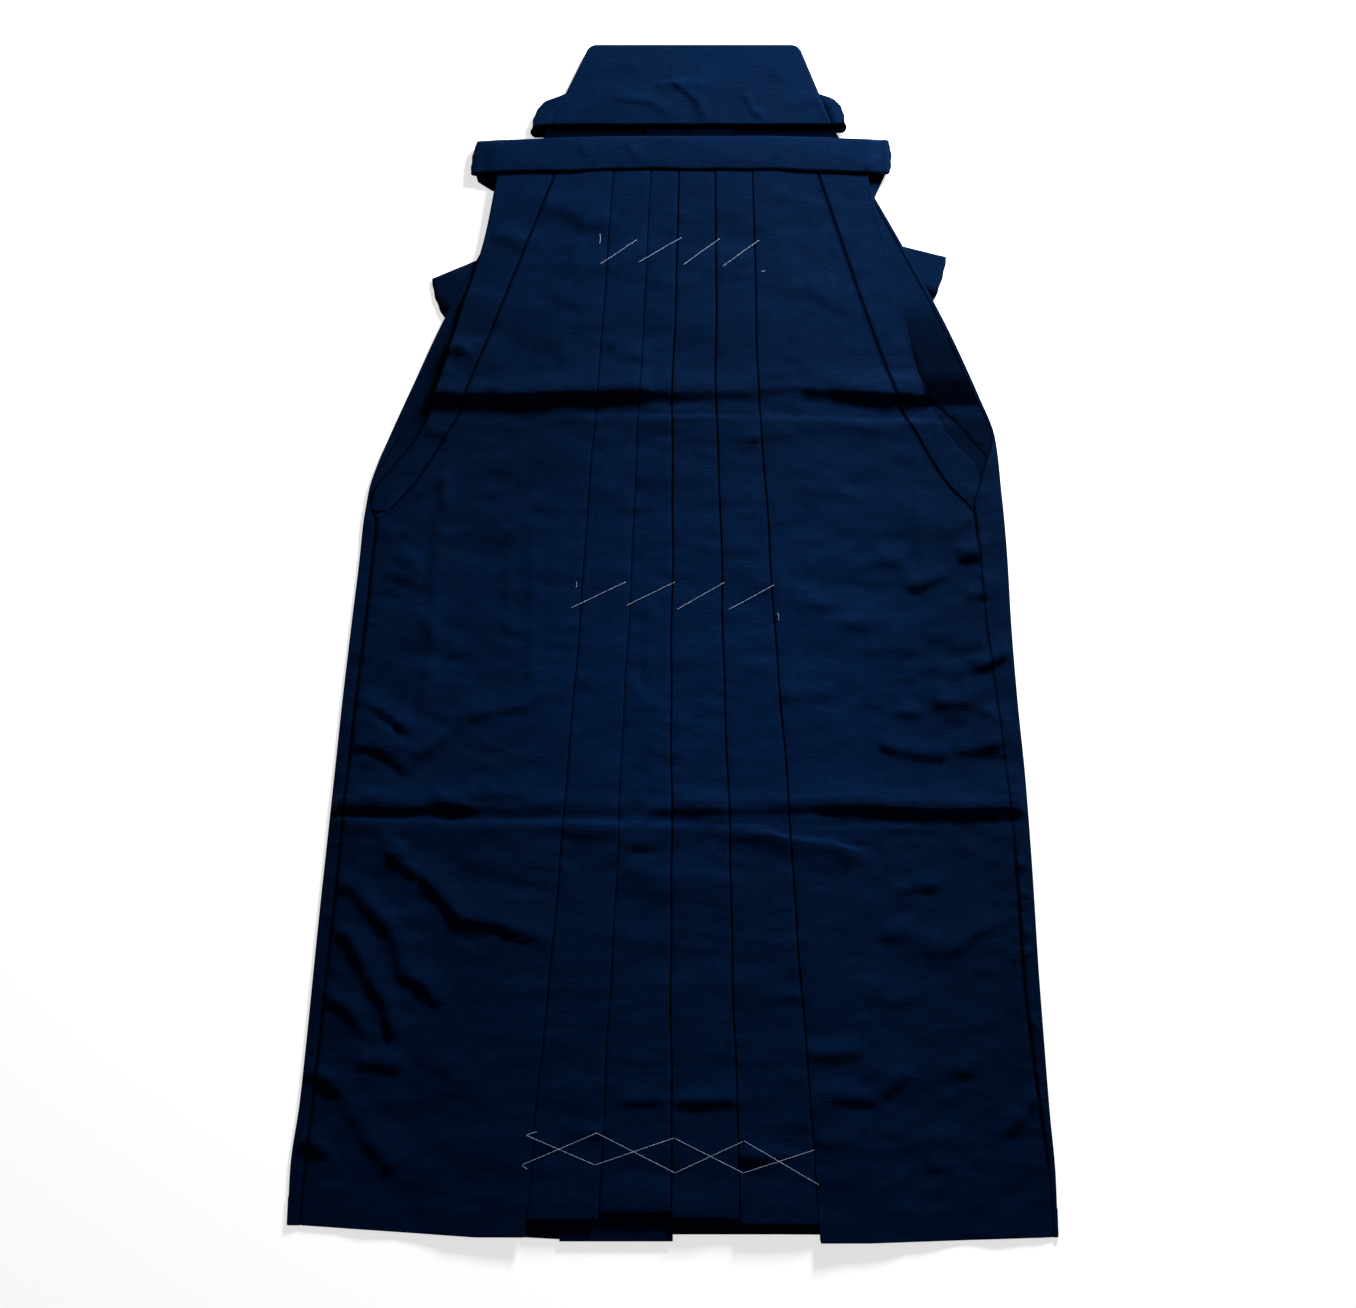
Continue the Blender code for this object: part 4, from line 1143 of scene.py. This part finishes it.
def bandPiece():
    # the section at each x: up the inner layer, half a circle over the top, down the outer one
    x = np.linspace(band["left"], band["right"], band["rows"])[:, None]
    share = (x - band["left"]) / (band["right"] - band["left"])
    arch = band["arch"] * np.sin(math.pi * share)
    seam = waves(band["seamWaves"], x) - arch
    top = waves(band["topWaves"], x) - arch - band["height"] - share
    low, high = bandHeights(x, top)
    radius = (high - low) / 2
    side = np.minimum(radius, band["roundest"])
    innerX = np.clip(x, band["left"] + band["innerShort"], band["right"] - band["innerShort"])
    add, joined = columnLists(x, 3)
    for step in np.linspace(0, 1, 5, endpoint=False):
        down = mix(seam, top + side, step)
        add(innerX, down, bandHeights(innerX, down)[0])
    for angle in np.radians(np.linspace(0, 180, 9)):
        add(mix(innerX, x, angle / math.pi), top + side * (1 - math.sin(angle)),
            (low + high) / 2 - radius * math.cos(angle))
    for step in np.linspace(0, 1, 21)[1:]:
        down = mix(top + side, seam, step)
        bulge = math.sin(math.pi * step)
        puff = band["puff"][0] * bulge ** band["puff"][1]
        ripple = waves([(high, length, turn * step) for high, length, turn in band["puffRipples"]], x)
        add(x, down, bandHeights(x, down)[1] + puff + ripple * bulge
            + wrinkleHeight(band["wrinkles"], x, down))
    across, down, z = joined()
    # the left end leans outwards towards its lower corner
    lean, reach = band["flare"]
    near = 1 - smooth(band["left"], band["left"] + reach, across)
    across = across - lean * near * (down - top) / (seam - top)
    uv = np.stack([across * 0.001, -pathLength(down, z)], axis=-1)
    shade = np.zeros_like(down)
    # painted shade along the outer layer's lower edge at the seam
    shade[:, -1] = 0.8
    sheet = turnColumns(inMetres(across, down, z), uv, np.stack([shade, shade], axis=-1), -1,
                        band["turnBacks"], False, band["turnDrop"] * 0.001)
    return clothPiece("frontBand", "front_band", sheet, -1, band["thick"], bandCloth)


board = {
    "thick": 4.8, "low": 3.75, "up": -119.6, "down": -44.8, "corner": 10.0, "lowCorner": 2.6,
    "topLeft": -73.5, "topRight": 111.0, "lowLeft": -108.2, "lowRight": 140.2,
    "edge": 1.7, "crown": 0.5, "rings": 40, "step": 5.0,
    "rimRings": 8.0,        # the dents and wrinkles fade over this many rings towards the rim
    "rumple": ((0.10, 9.0, 13.0), (0.10, 17.0, -7.0)),      # waves: height, lengths across and down
    "lowShare": 0.4,        # the lower face has this share of the upper one's relief
    # soft dents as x, down, depth and reach
    "dents": ((15.1, -57.7, 1.2, 7.0), (70.5, -63.6, 0.9, 6.0), (-52.0, -92.0, 0.6, 13.0),
              (88.0, -98.0, 0.5, 12.0), (-20.0, -75.0, 0.5, 9.0), (40.0, -100.0, 0.5, 12.0)),
    # soft wrinkles, like those of the panels
    "wrinkles": {
        "falls": (
            ((-2.0, -85.5, 11.7, -74.7, 21.9, -65.7, 27.7, -47.6), 1.51, 2.2, 6),
            ((61.4, -74.7, 70.5, -56.6, 80.1, -49.4), 1.51, 2.2, 6)),
        "corner": (
            ((100.7, -58.4, 116.1, -65.7, 131.6, -69.3), 1.73, 2.0, 6),
            ((126.0, -69.3, 136.0, -47.6), 1.30, 2.0, 5)),
        "waves": (
            ((-17.5, -80.1, 8.2, -84.5, 32.2, -80.1), 1.30, 6, 3),
            ((-67.3, -100.0, -26.1, -101.8), 0.86, 7, 4),
            ((-53.4, -69.3, -19.2, -65.7, -2.0, -53.0), 1.19, 3, 7),
            ((80.3, -98.2, 100.9, -87.3), 0.86, 4, 8)),
    },
}


def cornerAngle(corners, index):
    # the angle between the two edges that meet at a corner
    here = corners[index]
    return math.acos(float(unit(corners[index - 1] - here) @ unit(corners[(index + 1) % 4] - here)))


def boardOutline():
    # clockwise points on the straight edges and on the arcs that round the corners
    corners = np.array([(board["lowLeft"], board["down"]), (board["topLeft"], board["up"]),
                        (board["topRight"], board["up"]), (board["lowRight"], board["down"])])
    radii = (board["lowCorner"], board["corner"], board["corner"], board["lowCorner"])
    outline = []
    for index, here in enumerate(corners):
        following = (index + 1) % 4
        toBefore, toAfter = unit(corners[index - 1] - here), unit(corners[following] - here)
        angle = cornerAngle(corners, index)
        back = radii[index] / math.tan(angle / 2)
        middle = here + unit(toBefore + toAfter) * radii[index] / math.sin(angle / 2)
        start, end = here + toBefore * back, here + toAfter * back
        first = math.atan2(*(start - middle)[::-1])
        last = math.atan2(*(end - middle)[::-1])
        turn = (last - first + math.pi) % (2 * math.pi) - math.pi
        angles = first + turn * np.linspace(0, 1, 10)[:, None]
        outline.append(middle + radii[index] * np.hstack([np.cos(angles), np.sin(angles)]))
        # the straight edge on to the next corner
        backNext = radii[following] / math.tan(cornerAngle(corners, following) / 2)
        nextStart = corners[following] - toAfter * backNext
        count = max(int(np.linalg.norm(nextStart - end) / board["step"]), 2)
        outline.append(mix(end, nextStart, np.linspace(0, 1, count + 1)[1:-1, None]))
    return np.concatenate(outline)


def boardPiece():
    # rings from the outline inwards: a rounded edge, then the face; the same below, and one
    # point closes each face
    edge = boardOutline()
    tangent = unit(np.roll(edge, -1, axis=0) - np.roll(edge, 1, axis=0))
    inwards = np.stack([-tangent[:, 1], tangent[:, 0]], axis=1)
    centre = edge.mean(axis=0)
    if ((centre - edge) * inwards).sum() < 0:
        inwards = -inwards
    half = board["thick"] / 2
    rings, levels = [], []
    for angle in np.radians([0, 18, 36, 54, 72, 90]):
        rings.append(edge + inwards * board["edge"] * (1 - math.cos(angle)))
        levels.append(half * math.sin(angle) * np.ones(len(edge)))
    rim = rings[-1]
    for share in np.linspace(0, 1, board["rings"])[1:-1]:
        rings.append(mix(rim, centre, share))
        levels.append(half * np.ones(len(edge)))
    ringArray, levelArray = np.array(rings), np.array(levels)
    x, down = ringArray[..., 0], ringArray[..., 1]
    inner = np.minimum(np.arange(len(rings)) / board["rimRings"], 1.0)[:, None]
    soft = np.zeros_like(x)
    for dentX, dentDown, depth, reach in board["dents"]:
        soft -= depth * np.exp(-((x - dentX) ** 2 + (down - dentDown) ** 2) / reach ** 2)
    for high, across, along in board["rumple"]:
        soft += high * np.sin(x / across + down / along)
    soft += wrinkleHeight(board["wrinkles"], x, down)
    # the face is crowned by one minus the squares of the distances from its middle
    crown = board["crown"]
    for values, low, high in ((x, "lowLeft", "lowRight"), (down, "up", "down")):
        middle, reach = (board[low] + board[high]) / 2, (board[high] - board[low]) / 2
        crown = crown * (1 - ((values - middle) / reach) ** 2)
    soft += crown
    middle = board["low"] + half
    upperZ = middle + levelArray + soft * inner
    lowerZ = np.maximum(middle - levelArray + board["lowShare"] * soft * inner, board["low"])
    count = len(edge)
    upper = inMetres(x, down, upperZ)
    lower = inMetres(x, down, lowerZ)[1:]
    poles = [inMetres(centre[:1], centre[1:], z[-1:].mean(axis=1)) for z in (upperZ, lowerZ)]
    points = np.concatenate([upper.reshape(-1, 3), lower.reshape(-1, 3), *poles])
    index = np.arange(len(rings) * count).reshape(len(rings), count)
    lowIndex = np.concatenate([index[:1], index[1:] + (len(rings) - 1) * count])
    faces = []
    for table, flip, pole in ((index, False, len(points) - 2), (lowIndex, True, len(points) - 1)):
        after = np.roll(table, -1, axis=1)
        quads = np.stack([table[:-1], after[:-1], after[1:], table[1:]], axis=-1).reshape(-1, 4)
        fan = np.stack([table[-1], after[-1], np.full(count, pole)], axis=-1)
        faces += (quads[:, ::-1] if flip else quads).tolist() + (fan[:, ::-1] if flip else fan).tolist()
    return makeLoose("backBoard", points, faces, points[:, :2], boardCloth, "back_board")


def signedVolume(points, faces):
    # a sixth of the triple product of each triangle's corners, added up
    total = 0.0
    for size in {len(face) for face in faces}:
        group = np.array([face for face in faces if len(face) == size])
        for second in range(1, size - 1):
            one, two, three = points[group[:, 0]], points[group[:, second]], points[group[:, second + 1]]
            total += (one * np.cross(two, three)).sum() / 6
    return total


def outward(points, faces):
    # the faces of a closed surface, turned so that they point outwards
    return [face[::-1] for face in faces] if signedVolume(points, faces) < 0 else faces


def tubeFaces(rows, columns):
    # the faces of a closed tube whose points run round it, row after row, with its two ends
    index = np.arange(rows * columns).reshape(rows, columns)
    after = np.roll(index, -1, axis=1)
    quads = np.stack([index[:-1], after[:-1], after[1:], index[1:]], axis=-1).reshape(-1, 4)
    return quads.tolist() + [index[0, ::-1].tolist(), index[-1].tolist()]


def makeLoose(name, points, faces, uv, material, node, shadeFactor=None):
    # a closed surface of its own
    plain = np.zeros(len(points))
    part = (points, outward(points, faces), uv, plain.astype(int), plain if shadeFactor is None else shadeFactor)
    return makePiece(name, [part], material, [node])


ties = {
    "half": 0.62, "low": 0.75, "high": 2.6, "step": 5.0, "turnSteps": 13, "acrossSteps": 14,
    "ripple": (0.12, 11.0, 6.0),        # its height, its length along and its lean across
    # painted shade on a tie: x, down, reach and how much
    "shadeFactor": {
        "frontTieLeft": ((-199, 103, 16, 0.35), (-210, 99, 4, 0.7), (-207, 108, 5, 0.85),
                         (-203, 117, 6, 1.0), (-196, 125, 7, 1.0), (-190, 128, 6, 1.0)),
        "frontTieRight": ((227, 110, 5, 1.0), (221, 107, 5, 1.0), (216, 104, 5, 1.0)),
    },
    "gap": (-46.5, -43.5, 0.96),        # and painted shadow on the back ties, on all that is lower than the board
    # Each tie's way. A row is x and down of the upper and of the lower edge, then either a height
    # and which way the face looks, or for half a circle the heights it leaves and comes to, the
    # side it bulges to, which way the face looks first and how far it drifts down.
    "ways": {
        # the front ties fold back under the band's ends, cross behind and fold at the far side
        "frontTieRight": (
            (-165.0, -28.5, -165.0, -1.5, "bandRight", 1), (-168.35, -29.0, -171.4, -0.8, "bandRight", 1),
            (-168.85, -28.5, -173.4, -0.4, "bandRight", "low", -1, 1, 0.0),
            (-158, -26.5, -171.6, 5.4, "low", -1), (-140, -20, -158.5, 13.6, "low", -1),
            (-110, -12, -120, 19, "low", -1), (200, 65, 192, 105, "low", -1),
            (238.2, 74.5, 225.8, 114.5, "low", "high", 1, -1, 0.0), (156, 53, 143, 91, "high", 1)),
        "frontTieLeft": (
            (183.0, -30.5, 183.0, -2.5, "bandLeft", 1), (186.35, -31, 186.35, -2, "bandLeft", 1),
            (186.85, -31, 187.85, -1, "bandLeft", "high", 1, 1, 0.0),
            (160, -22, 177, 22, "high", -1), (120, -10, 130, 23, "high", -1),
            (-170, 77, -160, 114, "high", -1),
            (-209.5, 94, -198, 129.5, "high", "low", -1, -1, 0.0), (-125, 64, -114, 99, "low", 1)),
        # the back ties leave the board's slanting sides low down and fold under it
        "backTieRight": (
            (-93.0, -75.5, -106.4, -45.2, "side", 1),
            (-109.5, -70.0, -123.8, -43.3, "fold", "low", -1, 1, 6.5),
            (-60, -64, -62, -33, "low", -1), (60, -60, 60, -30, "low", -1)),
        "backTieLeft": (
            (127.4, -75.5, 138.4, -45.4, "side", 1),
            (139.5, -72, 152.2, -48.0, "fold", "high", 1, 1, 7.5),
            (90, -66, 92, -35, "high", -1), (-30, -60, -30, -31, "high", -1)),
    },
    # at a fold: how far in the softening goes, how long the rounded corners are, how high the
    # wave in the fold is, and how near the corners it dies away
    "foldSoft": (26.0, 5.0, 0.5, 8.0),
    # folds that show: both edges, the side they bulge to, how far the fold bows out between its
    # corners, and how far those are drawn in
    "folds": {
        "frontTieRight": ((238.2, 74.5, 225.8, 114.5, 1, 0.8, 1.2),
                          (-168.85, -28.5, -173.4, -0.4, -1, 0.6, 0.8)),
        "frontTieLeft": ((-209.5, 94, -198, 129.5, -1, 1.0, 1.2),
                         (186.85, -31, 187.85, -1, 1, 0.8, 1.5)),
        "backTieRight": ((-109.5, -70, -123.8, -43.3, -1, 1.5, 2.5),),
        "backTieLeft": ((139.5, -72, 152.2, -48.0, 1, 1.5, 2.5),),
    },
}


def bandEndHeight(x):
    # half way between the band's layers at its seam
    low, high = bandHeights(np.array([x]), np.array([0.0]))
    return float((low + high)[0] / 2)


tieLevels = {
    "low": ties["low"], "high": ties["high"],
    "bandRight": bandEndHeight(-168.0), "bandLeft": bandEndHeight(186.0),
    "side": board["low"] + board["thick"] - 0.9, "fold": board["low"] + board["thick"] - 1.2,
}


def turnStations(edges, zFrom, zTo, outward, facing, drift):
    # half a circle that bulges to one side in x, with the tie's face along its radius
    radius = abs(zTo - zFrom) / 2
    middle = (zFrom + zTo) / 2
    sign = 1 if zFrom > zTo else -1
    made = []
    for angle in np.linspace(0, math.pi, ties["turnSteps"]):
        reach = outward * radius * math.sin(angle)
        z = middle + sign * radius * math.cos(angle)
        face = np.array((outward * sign * math.sin(angle), 0.0, math.cos(angle))) * facing
        fallen = drift * angle / math.pi
        made.append((*(inMetres(x + reach, down + fallen, z) for x, down in edges), face))
    return made


def tieStations(name):
    # both edges, and which way the face looks, at each place along a tie's way
    made = []
    for row in ties["ways"][name]:
        edges = (row[0:2], row[2:4])
        if len(row) == 6:
            height = tieLevels[row[4]]
            made.append((*(inMetres(*edge, height) for edge in edges), np.array((0.0, 0.0, row[5]))))
        else:
            made += turnStations(edges, tieLevels[row[4]], tieLevels[row[5]], *row[6:])
    return made


def softenFold(points, fold):
    # the fold's line bows outwards between its corners, which are drawn in and rounded; both
    # fade over a short way into the tie
    outward, bow, corner = fold[4:]
    fadeOver, cornerReach, waveHeight, waveFade = ties["foldSoft"]
    start, end = inMetres(*fold[0:2], 0.0)[:2], inMetres(*fold[2:4], 0.0)[:2]
    length = np.linalg.norm(end - start)
    line = (end - start) / length
    normal = np.array((line[1], -line[0]))
    normal = normal if normal[0] * outward > 0 else -normal
    offset = points[..., :2] - start
    share = np.clip((offset @ line) / length, 0, 1)
    depth = -(offset @ normal) * 1000
    fade = 1 - smooth(0.0, fadeOver, depth)
    near = np.minimum(share, 1 - share) * length * 1000
    push = bow * np.sin(math.pi * share) - corner * np.exp(-(near / cornerReach) ** 2)
    push += waveHeight * np.sin(share * 17.0) * (1 - np.exp(-near / waveFade))
    moved = points.copy()
    moved[..., :2] += (normal * 0.001) * (push * fade)[..., None]
    return moved


def ribbonGrid(stations):
    # straight stretches between the stations are cut into short steps
    upper, lower, faces = [], [], []
    for one, other in zip(stations, stations[1:]):
        length = np.linalg.norm((one[0] + one[1]) / 2 - (other[0] + other[1]) / 2) * 1000
        count = max(int(length / ties["step"]), 1)
        for step in range(count):
            share = step / count
            upper.append(mix(one[0], other[0], share))
            lower.append(mix(one[1], other[1], share))
            faces.append(mix(one[2], other[2], share))
    upper.append(stations[-1][0])
    lower.append(stations[-1][1])
    faces.append(stations[-1][2])
    return np.array(upper), np.array(lower), np.array(faces)


def tiePiece(name, node):
    # a flat tube carried along the stations: across it runs out over the face, round the far
    # edge, back over the other face and round the near edge
    upper, lower, faces = ribbonGrid(tieStations(name))
    faces = unit(faces)
    width = np.linalg.norm(lower - upper, axis=1)[:, None, None]
    across = ((lower - upper) / width[:, 0])[:, None, :]
    half = ties["half"] * 0.001
    turn = np.radians([-90, -60, -30, 0, 30, 60, 90])
    flat = np.linspace(0, 1, ties["acrossSteps"])[1:-1]
    level = np.ones(len(flat))
    inset = np.concatenate([half * (1 - np.cos(turn)), 0 * level, half * (1 - np.cos(turn[::-1])), 0 * level])
    base = np.concatenate([0 * turn, flat, 0 * turn + 1, flat[::-1]])[None, :, None]
    out = np.concatenate([np.sin(turn), level, np.sin(turn[::-1]), -level])
    sign = np.where(base < 0.5, 1.0, -1.0)
    sign = np.where((base > 0) & (base < 1), 0.0, sign)
    distance = half + base * (width - 2 * half) - sign * (half - inset[None, :, None])
    along = np.concatenate([[0.0], np.cumsum(np.linalg.norm(np.diff((upper + lower) / 2, axis=0), axis=1))])
    share = base[0, :, 0][None, :]
    high, length, lean = ties["ripple"]
    ripple = high * 0.001 * np.sin(math.pi * share) * np.sin(along[:, None] * 1000 / length + lean * share)
    height = (out * half)[None, :] + ripple
    points = upper[:, None, :] + across * distance + faces[:, None, :] * height[..., None]
    for fold in ties["folds"][name]:
        points = softenFold(points, fold)
    uv = np.stack([along[:, None] + 0 * share, share * width[:, 0]], axis=-1)
    x, down = points[..., 0] * 1000, garment["waistY"] - points[..., 1] * 1000
    # painted shade at the front ties' folds, and painted shadow on the back ties below the board
    shadeFactor = np.zeros(x.shape)
    for placeX, placeDown, reach, amount in ties["shadeFactor"].get(name, ()):
        near = np.exp(-((x - placeX) ** 2 + (down - placeDown) ** 2) / reach ** 2)
        shadeFactor = np.maximum(shadeFactor, amount * np.minimum(1.6 * near, 1.0))
    if name.startswith("back"):
        shadeFactor = ties["gap"][2] * smooth(*ties["gap"][:2], down)
    return makeLoose(name, points.reshape(-1, 3), tubeFaces(*points.shape[:2]), uv.reshape(-1, 2), bandCloth,
                     node, shadeFactor.ravel())


print("band, board and ties")
frontBand = bandPiece()
backBoard = boardPiece()
frontTieRight = tiePiece("frontTieRight", "front_tie_right")
frontTieLeft = tiePiece("frontTieLeft", "front_tie_left")
backTieRight = tiePiece("backTieRight", "back_tie_right")
backTieLeft = tiePiece("backTieLeft", "back_tie_left")


basting = {
    "radius": 0.13, "samples": 70, "tailSamples": 24, "sides": 6,
    "sink": 0.5,            # how far an end goes into the cloth, and over what length
    "sinkLength": 1.6,
    "slope": 0.10,          # the steepest that a taut thread comes down from a high place
    "above": 0.404,         # from the cloth's surface to the thread's middle
    "bin": 2.0,             # the surface is read in squares of this size,
    "bins": (360, 520),     # this many of them across and down,
    "binShift": (180, 20),  # of which these lie left of the middle and above the seam
    "around": 0.0018,       # metres of the thread's own coordinates round it
    # the faint glow is painted light that keeps the thread bright far from the lamp
    "surface": {"Roughness": 0.75, "Emission Color": (0.5, 0.7, 1.0, 1.0), "Emission Strength": 0.05},
    "colours": ((0.3, (0.52, 0.65, 0.92)), (0.7, (0.68, 0.80, 1.0))),
    "fibre": (900.0, 900.0, 1.0),
    "twist": (9000.0, 3490.0), "bump": (0.5, 0.0001),
    # straight stitches, each as x and down of its two ends
    "stitches": (
        ((-63.4, 84.9), (-31.3, 62.2)), ((-30.3, 83.1), (8.0, 59.5)), ((8.8, 84.9), (41.1, 60.4)),
        ((42.8, 86.7), (75.1, 62.2)),
        ((-86.6, 387.3), (-39.8, 364.7)), ((-39.8, 385.6), (1.9, 364.7)), ((2.8, 389.0), (44.6, 364.7)),
        ((47.0, 389.0), (86.3, 367.4)),
        ((-120.5, 827.8), (-63.6, 852.0)), ((-63.6, 852.0), (1.2, 830.2)), ((1.2, 830.2), (57.8, 858.4)),
        ((57.8, 858.4), (116.2, 839.9)),
        ((-123.5, 852.0), (-62.1, 826.2)), ((-62.1, 826.2), (2.0, 858.4)), ((2.0, 858.4), (58.7, 832.6)),
        ((58.7, 832.6), (120.1, 868.1))),
    # loose ends, as a short line of x and down
    "tails": (
        ((-63.4, 56.0), (-63.0, 61.0), (-63.6, 65.5)), ((76.0, 91.5), (78.0, 90.6), (80.0, 90.4)),
        ((-82.0, 364.5), (-81.6, 367.0), (-82.2, 369.5)), ((89.2, 391.5), (90.0, 394.5), (89.8, 398.0)),
        ((-120.5, 827.8), (-116.0, 826.4), (-111.5, 825.2)),
        ((-123.5, 852.0), (-121.4, 853.6), (-119.0, 855.2))),
}


def binOf(x, down):
    # which bin a place falls in
    return [np.floor(place / basting["bin"]).astype(int) + shift
            for place, shift in zip((x, down), basting["binShift"])]


def topMap():
    # the highest point of the front in square bins
    table = np.full(basting["bins"], -1e9)
    for grid in (rightPoints, leftPoints):
        columns, lines = binOf(grid[..., 0] * 1000, garment["waistY"] - grid[..., 1] * 1000)
        np.maximum.at(table, (columns.ravel(), lines.ravel()), grid[..., 2].ravel() * 1000)
    # a bin that no point fell in takes the highest of its neighbours
    for _ in range(4):
        spread = np.max([np.roll(table, (stepX, stepDown), (0, 1)) for stepX in (-1, 0, 1)
                         for stepDown in (-1, 0, 1)], axis=0)
        table = np.where(table < -1e8, spread, table)
    return table


def surfaceTop(x, down):
    # the height of the top of the front near places on it
    columns, lines = binOf(x, down)
    near = [frontTop[columns + stepX, lines + stepDown] for stepX in (-1, 0, 1) for stepDown in (-1, 0, 1)]
    return np.max(near, axis=0) + garment["clothThick"] / 2


frontTop = topMap()


def threadTube(line, curled):
    # a round thread of even radius over the surface: taut between the high places, its ends
    # sinking into the cloth
    points = np.array(line, float)
    lengths = np.concatenate([[0.0], np.cumsum(np.hypot(*np.diff(points, axis=0).T))])
    steps = np.linspace(0, lengths[-1], basting["tailSamples" if curled else "samples"])
    if curled:
        x, down = (curveThrough(lengths, values, steps) for values in points.T)
    else:
        x, down = (np.interp(steps, lengths, values) for values in points.T)
    top = surfaceTop(x, down)
    reach = np.abs(steps[:, None] - steps[None, :]) * basting["slope"]
    taut = (top[None, :] - reach).max(axis=1)
    sinking = smooth(0.0, basting["sinkLength"], steps)
    if not curled:
        sinking = sinking * (1 - smooth(lengths[-1] - basting["sinkLength"], lengths[-1], steps))
    z = mix(top - basting["sink"], taut + basting["above"], sinking)
    centre = inMetres(x, down, z)
    tangent = unit(np.gradient(centre, axis=0))
    side = unit(np.cross(tangent, (0.0, 0.0, 1.0)))
    rise = np.cross(side, tangent)
    angles = np.linspace(0, 2 * math.pi, basting["sides"], endpoint=False)[None, :, None]
    radius = basting["radius"] * 0.001
    ring = np.cos(angles) * side[:, None, :] + np.sin(angles) * rise[:, None, :]
    ring = centre[:, None, :] + radius * ring
    count, sides = ring.shape[:2]
    flat = ring.reshape(-1, 3)
    along = np.repeat(steps * 0.001, sides)
    around = np.tile(np.arange(sides) / sides * basting["around"], count)
    faces = outward(flat, tubeFaces(count, sides))
    plain = np.zeros(len(flat))
    return flat, faces, np.stack([along, around], axis=-1), plain.astype(int), plain


def threadMaterial():
    # white cotton: a twist bump running round the thread; the surface's faint glow is painted light
    material, tree, shader = newMaterial("bastingThread", basting["surface"])
    place, along, around = clothPlace(tree)
    fibre = noiseOn(tree, place, basting["fibre"], 2.0, 0.5)
    tree.links.new(rampOf(tree, fibre, basting["colours"]), shader.inputs["Base Color"])
    turns = plus(tree, *(times(tree, part, turn) for part, turn in zip((along, around), basting["twist"])))
    bumpOn(tree, shader, mathNode(tree, "SINE", turns), *basting["bump"])
    return material


print("basting threads")
threadParts = [threadTube(line, False) for line in basting["stitches"]]
threadParts += [threadTube(line, True) for line in basting["tails"]]
threads = makePiece("bastingThreads", threadParts, threadMaterial(), [])


print("cloth sizes")
cuts = (
    (frontRight, 0.520, 0.941, 0.358, "folded", [backRight, backLeft]),
    (frontLeft, 0.560, 0.941, 0.367, "folded", [backRight, backLeft]),
    (backRight, 0.520, 0.972, 0.400, "folded", []),
    (backLeft, 0.520, 0.972, 0.400, "folded", []),
    (stripRight, 0.070, 0.317, 0.0178, "laid", [backRight]),
    (stripLeft, 0.070, 0.317, 0.0183, "laid", [backLeft]),
    (frontBand, 0.0705, 0.354, 0.0247, "folded", [frontRight, frontLeft]),
    (backBoard, 0.258, 0.090, 0.0171, "stretched", [backTieRight, backTieLeft]),
    (frontTieRight, 0.0405, 0.560, 0.0199, "folded", []),
    (frontTieLeft, 0.0420, 0.520, 0.0195, "folded", []),
    (backTieRight, 0.0315, 0.200, 0.0062, "folded", []),
    (backTieLeft, 0.0315, 0.200, 0.0059, "folded", []),
)
for cut in cuts:
    declareCloth(*cut)


studio = {
    "floor": (0.86, 0.86, 0.86), "floorGlow": 0.68, "floorHalf": 20.0, "floorHeight": -0.0001,
    "keyPower": 37.0, "keyPlace": (0.55, 1.14, 0.56), "keySize": 0.28,
    "world": 0.07,
    "lookAt": (0.0045, -0.028, 0.0), "distance": 2.26, "elevation": 80.0, "lens": 70.59,
    "sensor": 36.0,
}


def aim(thing, target):
    # turns a lamp or the camera towards a place
    away = Vector(target) - thing.location
    thing.rotation_euler = away.to_track_quat("-Z", "Y").to_euler()


def areaLight(name, power, place, size):
    # a square soft light aimed at the middle
    light = bpy.data.lights.new(name, "AREA")
    light.energy = power
    light.shape = "SQUARE"
    light.size = size
    lamp = newObject(name, light)
    lamp.location = place
    aim(lamp, (0.0, 0.0, 0.0))


def studioScene():
    # a pale glowing floor, one soft light, an even sky and the camera
    half, height = studio["floorHalf"], studio["floorHeight"]
    corners = [(x * half, y * half, height) for x, y in ((-1, -1), (1, -1), (1, 1), (-1, 1))]
    mesh = bpy.data.meshes.new("floor")
    mesh.from_pydata(corners, [], [(0, 1, 2, 3)])
    white = (1.0, 1.0, 1.0, 1.0)
    mesh.materials.append(newMaterial("paleFloor", {
        "Base Color": (*studio["floor"], 1.0), "Roughness": 0.9, "Emission Color": white,
        "Emission Strength": studio["floorGlow"]})[0])
    newObject("floor", mesh)
    areaLight("key", studio["keyPower"], studio["keyPlace"], studio["keySize"])
    world = bpy.data.worlds.new("studio")
    world.use_nodes = True
    background = world.node_tree.nodes["Background"]
    background.inputs["Strength"].default_value = studio["world"]
    background.inputs["Color"].default_value = white
    bpy.context.scene.world = world
    camera = newObject("camera", bpy.data.cameras.new("camera"))
    camera.data.lens = studio["lens"]
    camera.data.sensor_width = studio["sensor"]
    rise = math.radians(studio["elevation"])
    look = Vector(studio["lookAt"])
    camera.location = look + studio["distance"] * Vector((0.0, -math.cos(rise), math.sin(rise)))
    aim(camera, look)
    bpy.context.scene.camera = camera
    bpy.context.scene.view_settings.view_transform = "Standard"


print("studio")
studioScene()
